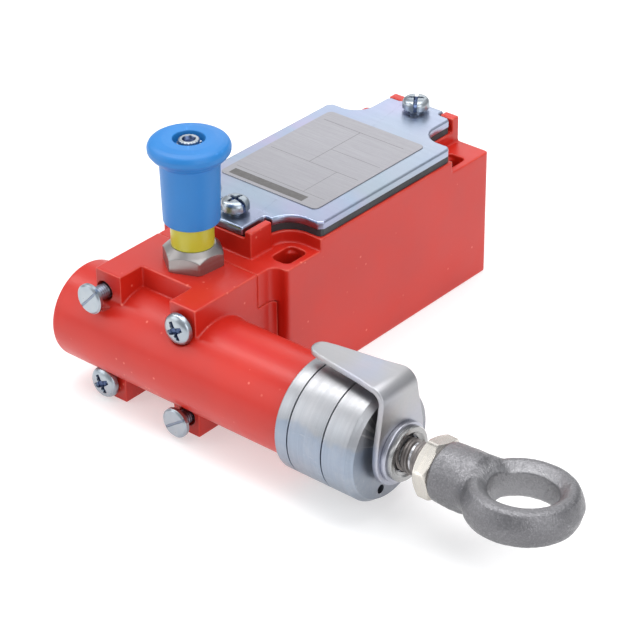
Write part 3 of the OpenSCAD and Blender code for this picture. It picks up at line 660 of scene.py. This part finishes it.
lab = fillet([(-16, -19.5), (14.2, -19.5), (14.2, 21.8), (-16, 21.8)], 1.5, 8, closed=True)
label = sheet_metal("rating_label_foil", lab, TOP_Z + 0.005, TOP_Z + 0.2, 0.1, 0.02, 3)
put(label, "base", "label_foil", LABEL, "rating_label")


# -------------------------------------------------------------------- screws
def smooth01(t):
    t = np.clip(t, 0, 1)
    return t * t * (3 - 2 * t)


def head_field(R, H, kind, N=96, edge=0.25, L=10, rs=1.9):
    """A screw in its own frame: seat at w = 0, head above, shank below; u runs along the driver's first arm."""
    a = np.linspace(-1, 1, N)
    A, B = np.meshgrid(a, a, indexing="ij")
    X = A * np.sqrt(1 - B * B / 2) * R
    Y = B * np.sqrt(1 - A * A / 2) * R
    r = np.hypot(X, Y) / R
    if kind == "flat":
        W = H - 0.42 * smooth01((r - 0.86) / 0.14)
        cut = smooth01((0.30 - np.abs(Y)) / 0.09) * smooth01((R - np.abs(X)) / 0.1)
        W = W - 0.2 * cut
        recess_shade = cut * 0.6
    else:
        n = {"cross": 2.8, "slotted": 3.6}[kind]
        W = edge + (H - edge) * np.power(np.clip(1 - np.power(np.clip(r, 0, 1), n), 0, 1), 1 / n)
        La = 2.3 * R / 3.7
        wa = {"cross": 0.82, "slotted": 0.58}[kind]
        dep = {"cross": 1.45, "slotted": 1.35}[kind]
        rec = np.zeros_like(W)
        for P, Q in ((np.abs(X), np.abs(Y)), (np.abs(Y), np.abs(X))):
            wide = wa * (1 - 0.35 * np.clip(P / La, 0, 1)) + 0.35 * np.clip(0.55 - P, 0, 1)
            arm = smooth01((wide - Q) / 0.16) * smooth01((La - P) / 0.22)
            rec = np.maximum(rec, arm * dep * (1 - 0.45 * np.clip(P / La, 0, 1)))
        if kind == "slotted":
            slot = smooth01((0.50 - np.abs(Y)) / 0.12) * 0.80
            slot = slot * (r < 1.01)
            rec = np.maximum(rec, slot)
        recess_shade = np.clip(rec / (dep * 0.55), 0, 1)
        W = np.maximum(W - rec, np.minimum(W, 0.15))
    verts = [(X[i, j], Y[i, j], W[i, j]) for i in range(N) for j in range(N)]
    # dark carries painted shade into the recess attribute: the driver recess and the slot
    dark = [float(q) for q in recess_shade.reshape(-1)]
    faces = [(i * N + j, (i + 1) * N + j, (i + 1) * N + j + 1, i * N + j + 1) for i in range(N - 1) for j in range(N - 1)]
    ring = [i * N for i in range(N)] + [(N - 1) * N + j for j in range(1, N)] + [i * N + N - 1 for i in range(N - 2, -1, -1)] + [j for j in range(N - 2, 0, -1)]
    m = len(ring)
    last = ring
    shank = [(rs, -0.1)]
    if kind == "flat":           # the thread that shows under a head standing proud
        for k in range(9):
            shank += [(rs, -0.35 - 0.62 * k), (rs - 0.13, -0.58 - 0.62 * k), (rs - 0.13, -0.67 - 0.62 * k), (rs, -0.90 - 0.62 * k)]
    for rr, w in [(R, 0.16), (R - 0.14, 0.0), (rs + 0.02, 0.0)] + shank + [(rs, -L + 0.3), (rs - 0.3, -L)]:
        new = []
        for idx in ring:
            x, y, _ = verts[idx]
            s = rr / math.hypot(x, y)
            new.append(len(verts))
            verts.append((x * s, y * s, min(w, verts[idx][2]) if w > 0 else w))
        faces += [(last[i], last[(i + 1) % m], new[(i + 1) % m], new[i]) for i in range(m)]
        last = new
    faces.append(tuple(reversed(last)))
    # painted shade on the thread under a head standing proud
    dark += [0.55 if kind == "flat" and p[2] < -0.05 else 0.0 for p in verts[len(dark):]]
    return verts, faces, dark


def screws(name, items, body, slot, mat, node, angle=38):
    """items: (origin, w direction, u direction, R, H, kind, L, rs)."""
    V, F, K = [], [], []
    for o, w, u, R, H, kind, L, rs in items:
        vs, fs, ds = head_field(R, H, kind, 96 if R > 3 else 72, 0.25, L, rs)
        K += ds
        w = Vector(w).normalized()
        u = (Vector(u) - w * Vector(u).dot(w)).normalized()
        v = w.cross(u)
        k = len(V)
        V += [tuple(Vector(o) + u * a + v * b + w * c) for a, b, c in vs]
        F += [tuple(i + k for i in f) for f in fs]
    ob = make(name, V, F, angle)
    if len(ob.data.vertices) == len(K):
        ob.data.attributes.new("recess", "FLOAT", "POINT").data.foreach_set("value", K)
    return put(ob, body, slot, mat, node)


def dir2(deg, plane="xy"):
    c, s = math.cos(math.radians(deg)), math.sin(math.radians(deg))
    return (c, s, 0) if plane == "xy" else (c, 0, s)


screws("cover_screws_pan", [
    ((0, -31.6, TOP_Z + 0.8), (0, 0, 1), dir2(-8), 3.45, 2.75, "slotted", 10.2, 1.9),
    ((0, 36.0, TOP_Z + 0.8), (0, 0, 1), dir2(-56), 3.45, 2.75, "slotted", 10.2, 1.9)], "base", "zinc_screw", HEADS, "cover_screws")
screws("head_screws_home", [
    ((11.65, -63.6, 28.7), (0, -1, 0), dir2(28, "xz"), 3.88, 2.18, "cross", 26.3, 1.9),
    ((-12.95, -63.6, 4.6), (0, -1, 0), dir2(30, "xz"), 3.88, 2.18, "cross", 26.3, 1.9)], "base", "zinc_screw", HEADS, "head_screws_seated")
screws("head_screws_out", [
    ((-12.95, -66.7, 28.7), (0, -1, 0), dir2(47, "xz"), 3.68, 1.38, "flat", 27.0, 1.85),
    ((11.65, -65.7, 4.6), (0, -1, 0), dir2(35, "xz"), 3.68, 1.38, "flat", 27.4, 1.85)], "base", "zinc_screw", HEADS, "head_screws_proud")


# ------------------------------------------------------- hexagons with chamfer
def smin(a, b, k=0.10):
    h = max(k - abs(a - b), 0) / k
    return min(a, b) - h * h * k / 4


def hexagon(name, AF, zs, cone, place, rot, bore, per=28):
    """A hexagon cut by a turned chamfer: at each height the radius is the lesser of the two."""
    ap = AF / 2
    R6 = AF / math.sqrt(3) - 0.07
    n = 6 * per
    verts, faces = [], []

    def hexr(t):
        q = ((math.degrees(t) - rot) % 60) - 30
        return smin(ap / math.cos(math.radians(q)), R6, 0.12)

    rows = []
    ang = [2 * math.pi * i / n + math.radians(rot) for i in range(n)]
    z0, z1 = zs[0], zs[-1]
    b = [(bore, z1 - 0.15), (bore + 0.15, z1)]
    for r, z in [(bore, z0)] + []:
        rows.append([place(r, t, z) for t in ang])
    rows.append([place(min(hexr(t), cone(z0)) * 0.8, t, z0) for t in ang])
    for z in zs:
        rows.append([place(smin(hexr(t), cone(z)), t, z) for t in ang])
    rows.append([place(min(bore + 1.0, cone(z1) - 0.1), t, z1) for t in ang])
    rows.append([place(b[1][0], t, z1) for t in ang])
    rows.append([place(b[0][0], t, b[0][1]) for t in ang])
    m = len(rows)
    for row in rows:
        verts += row
    for k in range(m):
        for i in range(n):
            j = (i + 1) % n
            k2 = (k + 1) % m
            faces.append((k * n + i, k * n + j, k2 * n + j, k2 * n + i))
    return make(name, verts, faces, 24)


def lin(a, b, n):
    return [a + (b - a) * i / n for i in range(n + 1)]


nx0, nx1 = 77.4, 81.3


def nut_cone(z):
    e = min(z - nx0, nx1 - z)
    return 6.35 + e * 1.75 if e < 0.75 else 99


nut = hexagon("lock_nut_hex", 13, lin(nx0, nx0 + 0.8, 14) + lin(nx0 + 1.0, nx1 - 1.0, 4) + lin(nx1 - 0.8, nx1, 14), nut_cone, on_x, 45, 4.02)
put(nut, "pull", "stainless", NUT, "lock_nut")


def bush_cone(z):
    if z > DECK + 4.0:
        return 6.4 - (z - DECK - 4.0)
    if z > DECK + 2.4:
        return 6.4 + (DECK + 4.0 - z) * 1.15
    if z < DECK + 0.3:
        return 7.2 + (z - DECK) * 1.5
    return 99


bush = hexagon("hex_bush_turned", 13, lin(DECK, DECK + 0.3, 4) + lin(DECK + 0.5, DECK + 2.4, 4) + lin(DECK + 2.5, DECK + 4.0, 22) + lin(DECK + 4.05, DECK + 5.1, 6), bush_cone, on_z, -36, 4.35)
spig = lathe("bush_spigot", [(2.05, 30.7), (4.2, 30.7), (4.3, 30.8), (4.3, 34.0), (4.36, 34.2), (4.34, 37.0), (2.05, 37.0)], on_z, 72, ring=True)
bush = join("hex_bush_turned_body", [bush, spig])
put(bush, "base", "stainless", STAIN_Z, "hex_bush")

# -------------------------------------------------------------- knob and sleeve
ys = fillet([(4.35, 39.05), (5.05, 39.05), (5.05, 46.5), (4.35, 46.5)], [0.05, 0.12, 0.2, 0.1], 4, closed=True)
put(lathe("yellow_sleeve_ring", ys, on_z, 128, ring=True), "base", "yellow_plastic", YELLOW, "yellow_sleeve")

kp = [(5.45, 45.1), (6.62, 45.1), (6.97, 59.3), (7.02, 60.2), (7.55, 60.95), (8.7, 61.75), (9.55, 62.9), (9.62, 64.0),
      (9.15, 65.05), (7.9, 65.62), (6.2, 65.88), (3.75, 65.9), (3.57, 63.9), (1.6, 63.9), (1.6, 61.5), (2.0, 61.5), (2.0, 53.0), (5.45, 53.0)]
kr = [0.12, 0.45, 0.4, 0.35, 1.2, 2.0, 1.1, 1.1, 1.6, 2.5, 3, 0.25, 0.2, 0.05, 0.05, 0.05, 0.05, 0.3]
kp = [(min(r, 9.6), z) for r, z in kp]
put(lathe("reset_knob_moulded", fillet(kp, kr, 8, closed=True), on_z, 192, ring=True, angle=40), "reset", "blue_plastic", BLUE, "reset_knob")

# serrated washer in the knob's recess
teeth, V, F = 14, [], []
n = teeth * 8
for zz, dr in ((63.95, 0.06), (64.0, 0.0), (64.3, 0.0), (64.38, 0.08)):
    for i in range(n):
        f = (i % 8) / 8
        bump = smooth01(np.array((0.5 - abs(f - 0.5)) / 0.22 - 0.6))
        rr = 2.62 + 0.52 * float(bump) - dr
        tw = 0.12 * float(bump) * (1 if f > 0.5 else -1)
        V.append(on_z(rr, 2 * math.pi * i / n, zz + tw * 0.6 + 0.02))
for rr, zz in ((1.3, 64.38), (1.3, 63.95)):
    V += [on_z(rr, 2 * math.pi * i / n, zz) for i in range(n)]
for k in range(6):
    for i in range(n):
        j, k2 = (i + 1) % n, (k + 1) % 6
        F.append((k * n + i, k * n + j, k2 * n + j, k2 * n + i))
put(make("knob_washer_serrated", V, F, 35), "reset", "zinc_screw", SCREW, "knob_washer")

# the knob's screw: a serrated rim round a deep socket, nearly flush with the knob
teeth = 18
n = teeth * 8
rows = ((1.15, 56.6, 0), (1.2, 57.0, 0), (1.2, 64.4, 0), (2.25, 64.42, 1), (2.3, 64.6, 1), (2.3, 65.5, 1), (2.18, 65.68, 0.8), (1.98, 65.74, 0.2), (1.62, 65.72, 0), (1.5, 65.55, 0), (1.44, 64.9, 0), (1.3, 64.75, 0), (0.6, 64.7, 0))
V, F = [], []
for rr, zz, k in rows:
    for i in range(n):
        f = (i % 8) / 8
        t = float(smooth01(np.array((0.5 - abs(f - 0.5)) / 0.30 - 0.35)))
        hx = 1.0
        if rr < 1.55 and zz > 64.6:
            q = (math.degrees(2 * math.pi * i / n) % 60) - 30
            hx = 0.5 + 0.5 * min(1.12, math.cos(math.radians(30)) / math.cos(math.radians(q)) * 1.08)
        V.append(on_z((rr + 0.17 * k * t) * hx, 2 * math.pi * i / n, zz))
m = len(rows)
for k in range(m - 1):
    for i in range(n):
        j = (i + 1) % n
        F.append((k * n + i, k * n + j, (k + 1) * n + j, (k + 1) * n + i))
F.append(tuple(range(n - 1, -1, -1)))
F.append(tuple(range((m - 1) * n, m * n)))
ks = make("knob_screw_socket", V, F, 40)
# painted shade in the socket
ks.data.attributes.new("recess", "FLOAT", "POINT").data.foreach_set("value", [1.0 if rr < 1.55 and zz > 64.6 else 0.0 for rr, zz, k in rows for i in range(n)])
put(ks, "reset", "zinc_screw", HEADS, "knob_screw")

# ----------------------------------------------------------- sleeve and washers
SR, G = 13.7, 0.2
sp = [(8, 35.2), (9.6, 35.2), (9.6, 44.7), (SR - 0.3, 44.7), (SR, 45.0)]
for gx in (48.4, 58.0):
    sp += [(SR, gx - G), (SR - 0.1, gx - G + 0.04), (SR - 0.55, gx - G + 0.06), (SR - 0.55, gx + G - 0.06), (SR - 0.1, gx + G - 0.04), (SR, gx + G)]
sp += [(SR, 64.6), (SR - 0.55, 65.3), (SR - 1.15, 66.2), (5.5, 66.2), (5.5, 64.9), (7.5, 64.9), (7.5, 61.5), (5.5, 61.5), (5.5, 56), (8, 56)]
sr = [0.1, 0.1, 0, 0.1, 0.2] + [0.05, 0, 0, 0, 0, 0.05] * 2 + [0.10, 0.08, 0.08, 0.2] + [0] * 6
sleeve = lathe("end_sleeve_turned", fillet(sp, sr, 5, closed=True), on_x, 224, ring=True, angle=28)
for s in (-1, 1):
    c = lathe("pin_cut%d" % (s + 1), [(0, 63.6), (0.9, 63.6), (1.1, 63.8), (1.1, 67), (0, 67)], lambda r, a, h, s=s: (h, TY - s * 3.1 + r * math.cos(a), TZ - s * 9.9 + r * math.sin(a)), 40)
    m = sleeve.modifiers.new("pin", "BOOLEAN")
    m.operation = "DIFFERENCE"
    m.solver = "EXACT"
    m.object = c
    apply_mods(sleeve)
    bpy.data.objects.remove(c)
sharpen(sleeve, 28)
put(sleeve, "base", "turned_zinc", SLEEVE, "end_sleeve")

fw = fillet([(4.1, 69.2), (7.2, 69.2), (7.2, 70.5), (4.1, 70.5)], [0.1, 0.25, 0.38, 0.1], 5, closed=True)
put(lathe("flat_washer_turned", fw, on_x, 128, ring=True), "pull", "zinc_screw", WASHER, "flat_washer")
rr_ = fillet([(4.3, 70.5), (6.5, 70.5), (6.5, 71.45), (6.3, 71.7), (5.35, 71.75), (4.9, 71.4), (4.3, 71.1)], [0.05, 0.08, 0.08, 0.06, 0.1, 0.1, 0.05], 5, closed=True)
put(lathe("retaining_ring_turned", rr_, on_x, 128, ring=True), "pull", "stainless", RING, "retaining_ring")

# --------------------------------------------------------------- pull shaft
shaft = lathe("pull_shaft_core", fillet([(0, -22.3), (7.55, -22.3), (7.95, -21.9), (7.95, -19.0), (7.73, -19.0), (5.0, -0.8), (5.0, 67.7), (3.4, 67.7), (3.4, 87.6), (0, 87.6)],
                                        [0, 0.2, 0.2, 0.1, 0.05, 0.8, 0.15, 0.05, 0.2, 0], 4), on_x, 128)
pitch, NA = 2.6, 96
xs = np.arange(67.8, 87.9, 0.055)
V, F = [], []
for x in xs:
    for i in range(NA):
        f = ((x - 71.9) / pitch - i / NA + 0.12) % 1.0
        d = abs(f - 0.5) * 2          # 1 on the crest, 0 in the root
        h = float(smooth01(np.array((d - 0.16) / 0.34)))
        h *= 1 - 0.10 * (1 - min(1, abs(1 - d) / 0.34)) ** 2
        taper = min(1.0, max(0.0, (87.95 - x) / 1.2)) * min(1.0, max(0.0, (x - 67.7) / 0.9))
        r = 3.35 + 0.60 * h * taper
        V.append(on_x(r, 2 * math.pi * i / NA, x))
for k in range(len(xs) - 1):
    for i in range(NA):
        j = (i + 1) % NA
        F.append((k * NA + i, k * NA + j, (k + 1) * NA + j, (k + 1) * NA + i))
F.append(tuple(range(NA - 1, -1, -1)))
F.append(tuple(range((len(xs) - 1) * NA, len(xs) * NA)))
thr = make("pull_shaft_thread", V, F, 60)
put(thr, "pull", "stainless", ROD)
put(shaft, "pull", "stainless", GROUND, "pull_shaft")

# -------------------------------------------------------- indicator bracket
BZ, BX, T = 34.2, 69.2, 1.5
ri = 2.2
rc = ri + T / 2
st = []                                     # x, z, tangent angle, half width
for x, w in ((44.95, 0.55), (45.05, 1.1), (45.3, 1.6), (45.75, 2.05), (46.6, 2.45), (49, 3.0), (53, 3.62), (57, 4.2), (61, 4.78), (BX - ri - T, 5.75)):
    st.append((x, BZ - T / 2, 0, w))
for i in range(1, 12):
    a = i / 12 * math.pi / 2
    st.append((BX - ri - T + rc * math.sin(a), BZ - ri - T + rc * math.cos(a), -a, 5.75 + 0.25 * i / 12))
for z, w in ((BZ - ri - T, 6.0), (28.5, 6.35), (26.0, 6.85), (23.5, 7.35), (21.5, 7.75), (19.5, 8.0), (17.5, 8.16)):
    st.append((BX - T / 2, z, -math.pi / 2, w))
for i in range(1, 24):
    a = i / 24 * math.pi / 2
    st.append((BX - T / 2, TZ + 0.2 - 8.38 * math.sin(a), -math.pi / 2, 8.2 * math.cos(a) if i < 24 else 0.4))
loops = []
er = 0.38
for x, z, a, w in st:
    tx, tz = math.cos(a), math.sin(a)
    nxx, nz = -tz, tx                      # outward normal of the sheet
    e = min(er, w * 0.8)
    sec = fillet([(-w, -T / 2), (w, -T / 2), (w, T / 2), (-w, T / 2)], e, 4, closed=True)
    loops.append([(x + nxx * v, TY + u, z + nz * v) for u, v in sec])
br = loft("indicator_bracket_bent", loops, angle=40)
put(br, "pull", "zinc_plate", BRACKET, "indicator_bracket")


# ----------------------------------------------------------------- eye nut
EX, ROLL_E, LIFT_E = 101.7, math.radians(5), 1.0


def in_ring(x, y, h):
    """The ring's own frame: turned about the rod and forged a little above its axis."""
    h = h + LIFT_E
    c, s = math.cos(ROLL_E), math.sin(ROLL_E)
    return (x, TY + y * c + h * s, TZ - y * s + h * c)


def eye():
    parts = []
    prof = [(7.6, -2.75), (8.1, -3.4), (8.7, -3.95), (9.5, -4.24)]
    for i in range(-8, 9):
        t = math.radians(i * 11.25)
        c, s = math.cos(t), math.sin(t)
        ridge = 0.34 * math.exp(-((i * 11.25 - 4) / 9.0) ** 2) - 0.26
        prof.append((10.3 + 3.0 * abs(c) ** 0.86 + (ridge if 0 < abs(c) and abs(i) < 5 else -0.1), 4.3 * math.copysign(abs(s) ** 0.86, s)))
    prof += [(9.5, 4.24), (8.7, 3.95), (8.1, 3.4), (7.6, 2.75)]


    def skin(r, a, h):
        # the shoulder above the bore is flatter on the far side, where the dies met unevenly
        if h > 0:
            w = 0.5 + 0.5 * math.cos(a - math.radians(130))
            h *= 1 - w * float(np.interp(r, [7.6, 8.1, 8.7, 9.5, 10.3], [0.02, 0.14, 0.14, 0.07, 0]))
        return in_ring(EX + r * math.cos(a), r * math.sin(a), h)

    parts.append(lathe("e1", prof, skin, 160, ring=True))
    parts.append(lathe("e2", [(0, 81.3), (6.5, 81.3), (6.95, 82.0), (7.1, 84.5), (7.1, 88.6), (6.75, 90.2), (5.9, 91.6), (4.4, 92.6), (0, 92.9)], on_x, 120))
    # the web that carries the ring, widening from the shank
    loops = []
    for x, hy, hz, q in ((85.5, 6.7, 6.7, 0.0), (86.8, 6.85, 6.65, 0.05), (88.1, 7.05, 6.35, 0.2), (89.4, 7.4, 5.85, 0.45), (90.6, 7.95, 5.35, 0.7), (91.8, 8.75, 4.95, 0.9), (93.0, 9.6, 4.4, 1.0), (94.2, 9.9, 3.5, 1.0), (95.0, 9.9, 2.9, 1.0)):
        lp = []
        for i in range(48):
            t = 2 * math.pi * i / 48
            c, s = math.cos(t), math.sin(t)
            y, z = hy * math.copysign(abs(c) ** 0.8, c), hz * math.copysign(abs(s) ** 0.8, s)
            a = in_ring(x, y, z)
            lp.append((x, (TY + y) * (1 - q) + a[1] * q, (TZ + z) * (1 - q) + a[2] * q))
        loops.append(lp)
    parts.append(loft("e3", loops))
    ob = join("eye_nut_cast", parts)
    cut = lathe("ecut", [(0, -9), (7.6, -9), (7.6, 9), (0, 9)], lambda r, a, h: in_ring(EX + r * math.cos(a), r * math.sin(a), h), 160)
    bore = lathe("ebore", [(0, 80), (4.0, 80), (4.0, 88.6), (0, 88.6)], on_x, 64)
    m = ob.modifiers.new("remesh", "REMESH")
    m.mode = "VOXEL"
    m.voxel_size = 0.22 * MM
    for c in (cut, bore):
        b = ob.modifiers.new("cut", "BOOLEAN")
        b.operation = "DIFFERENCE"
        b.solver = "EXACT"
        b.object = c
    m = ob.modifiers.new("remesh2", "REMESH")
    m.mode = "VOXEL"
    m.voxel_size = 0.22 * MM
    s = ob.modifiers.new("smooth", "SMOOTH")
    s.factor = 0.5
    s.iterations = 6
    apply_mods(ob)
    bpy.data.objects.remove(cut)
    bpy.data.objects.remove(bore)
    # the uneven skin of a small forging, worked inwards only
    me = ob.data
    co = np.empty(len(me.vertices) * 3)
    no = np.empty(len(me.vertices) * 3)
    me.vertices.foreach_get("co", co)
    me.vertices.foreach_get("normal", no)
    co, no = co.reshape(-1, 3), no.reshape(-1, 3)
    from mathutils import noise as mn
    d = np.array([0.5 + 0.5 * mn.noise(Vector(p) * 420) + 0.35 * mn.noise(Vector(p) * 1500) for p in co])
    near = np.clip((co[:, 0] / MM - 81.6) / 0.6, 0, 1)
    co -= no * (np.clip(d, 0, 1.4) * 0.10 * near * MM)[:, None]
    me.vertices.foreach_set("co", co.reshape(-1))
    me.update()
    for p in me.polygons:
        p.use_smooth = True
    return ob


put(eye(), "pull", "galvanised", GALV, "eye_nut")


# ----------------------------------------------------------------- springs
def coil(name, z0, z1, rc, rw, turns, place, seg=40, n=12):
    m = int(turns * seg)
    V, F = [], []
    for k in range(m + 1):
        t = k / m
        a = 2 * math.pi * turns * t
        e = 1 / turns
        q = z1 - z0 - 4 * rw
        if t < e:
            z = z0 + rw + t / e * 1.1 * rw
        elif t > 1 - e:
            z = z0 + rw + q + 0.9 * rw + 1.1 * rw * (t - 1 + e) / e
        else:
            z = z0 + rw + 1.1 * rw + (q - 0.2 * rw) * (t - e) / (1 - 2 * e)
        for i in range(n):
            b = 2 * math.pi * i / n
            V.append(place(rc + rw * math.cos(b), a, z + rw * math.sin(b)))
    for k in range(m):
        for i in range(n):
            j = (i + 1) % n
            F.append((k * n + i, (k + 1) * n + i, (k + 1) * n + j, k * n + j))
    F.append(tuple(range(n)))
    F.append(tuple(m * n + i for i in range(n - 1, -1, -1)))
    return make(name, V, F, 50)


def along_y(x, z):
    return lambda r, a, h: (x + r * math.cos(a), h, z + r * math.sin(a))


for name, node, args, joint, axis, anchor, keep in (
    ("main_spring_coil", "main_spring", (11.6, 43.9, 6.6, 0.75, 9, on_x), "pull_slide", (1, 0, 0), (44 * MM, TY * MM, TZ * MM), 0.50),
    ("reset_spring_coil", "reset_spring", (37.05, 52.9, 3.75, 0.35, 8, on_z), "reset_push", (0, 0, 1), (0, KY * MM, 37 * MM), 0.64),
    ("latch_spring_coil", "latch_spring", (-42.95, -38.25, 1.6, 0.3, 3, along_y(0, 21.6)), "latch_slide", (0, 1, 0), (0, -38.2 * MM, 21.6 * MM), 0.52),
    ("contact_spring_coil", "contact_spring", (6.05, 11.95, 2.1, 0.3, 5, along_y(0, TZ)), "plunger_slide", (0, 1, 0), (0, 12 * MM, TZ * MM), 0.58),
):
    ob = coil(name, *args)
    put(ob, "base", "spring_steel", SPRING, node)
    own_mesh(ob)

# ----------------------------------------- CAD pieces that keep their shape
KEEP = {
    "cover_gasket": RUBBER, "head_gasket": RUBBER, "wiper_seal": RUBBER, "guide_bush": BRONZE, "plunger_bush": BRONZE,
    "contact_block": BLACKP, "block_screws": SCREW, "fixed_contacts": BRASS, "terminal_clamps": SCREW, "terminal_screws": SCREW,
    "earth_screw": SCREW, "spring_seat": GROUND, "reset_stem": STAIN_Z, "latch_wedge": GROUND, "latch_slider": GROUND,
    "contact_plunger": GROUND, "contact_carrier": WHITEP, "contact_bridges": BRASS,
}
for node, mat in KEEP.items():
    o = NODES[node]
    o.data.materials.clear()
    o.data.materials.append(mat)

# ------------------------------------------------------- camera, light, floor
AZ, EL, ROLL = math.radians(40.5), math.radians(31.38), math.radians(-0.53)
back = Vector((math.sin(AZ) * math.cos(EL), -math.cos(AZ) * math.cos(EL), math.sin(EL)))
right = Vector((math.cos(AZ), math.sin(AZ), 0))
up = back.cross(right)
r2 = right * math.cos(ROLL) + up * math.sin(ROLL)
u2 = -right * math.sin(ROLL) + up * math.cos(ROLL)
cam = bpy.data.cameras.new("camera")
cam.sensor_width = 36
cam.lens = 143.5
cam.clip_start, cam.clip_end = 0.01, 50
camo = bpy.data.objects.new("camera", cam)
scene.collection.objects.link(camo)
target = Vector((9.78, -13.09, 6.27)) * MM
camo.matrix_world = Matrix((
    (r2.x, u2.x, back.x, target.x + back.x * 0.6181),
    (r2.y, u2.y, back.y, target.y + back.y * 0.6181),
    (r2.z, u2.z, back.z, target.z + back.z * 0.6181),
    (0, 0, 0, 1)))
scene.camera = camo

fl = bpy.data.meshes.new("floor")
S = 4.0
fl.from_pydata([(-S, -S, -0.0001), (S, -S, -0.0001), (S, S, -0.0001), (-S, S, -0.0001)], [], [(0, 1, 2, 3)])
flo = bpy.data.objects.new("floor", fl)
scene.collection.objects.link(flo)
fm = bpy.data.materials.new("floor")
fm.use_nodes = True
fp = fm.node_tree.nodes["Principled BSDF"]
fp.inputs["Base Color"].default_value = (0.62, 0.62, 0.62, 1)
fp.inputs["Emission Color"].default_value = (1, 1, 1, 1)
fp.inputs["Emission Strength"].default_value = 0.46
fp.inputs["Roughness"].default_value = 0.9
fp.inputs["Specular IOR Level"].default_value = 0.1
fl.materials.append(fm)


def area_light(name, pos, look, size, power, color=(1, 1, 1)):
    d = bpy.data.lights.new(name, "AREA")
    d.shape = "RECTANGLE"
    d.size, d.size_y = size
    d.energy = power
    d.color = color
    o = bpy.data.objects.new(name, d)
    scene.collection.objects.link(o)
    o.location = pos
    o.rotation_euler = (Vector(pos) - Vector(look)).to_track_quat("Z", "Y").to_euler()
    return o


c = (0.02, -0.01, 0.02)
area_light("key_top", (0.05, 0.03, 0.65), c, (0.6, 0.6), 3.05)
area_light("strip", (-0.32, -0.09, 0.48), c, (0.10, 0.40), 0.8)
area_light("left_box", (-0.45, -0.55, 0.32), c, (0.45, 0.5), 1.25)
area_light("right_box", (0.75, -0.25, 0.35), c, (0.4, 0.5), 1.7)
area_light("back_box", (-0.45, 0.75, 0.45), c, (0.6, 0.5), 1.1)

scene.view_settings.view_transform = "Standard"
scene.view_settings.look = "None"
w = bpy.data.worlds.new("studio")
scene.world = w
w.use_nodes = True
nt = w.node_tree
bg = nt.nodes["Background"]
# bright overhead, a little darker towards the horizon, as under a light tent
wtc = nt.nodes.new("ShaderNodeTexCoord")
wsep = nt.nodes.new("ShaderNodeSeparateXYZ")
wr = nt.nodes.new("ShaderNodeValToRGB")
nt.links.new(wtc.outputs["Generated"], wsep.inputs[0])
nt.links.new(wsep.outputs[2], wr.inputs["Fac"])
els = wr.color_ramp.elements
els[0].position, els[0].color = 0.0, (0.34, 0.35, 0.37, 1)
els[1].position, els[1].color = 0.75, (0.62, 0.63, 0.65, 1)
e = els.new(0.25)
e.color = (0.44, 0.45, 0.47, 1)
nt.links.new(wr.outputs["Color"], bg.inputs["Color"])
bg.inputs["Strength"].default_value = 1.0
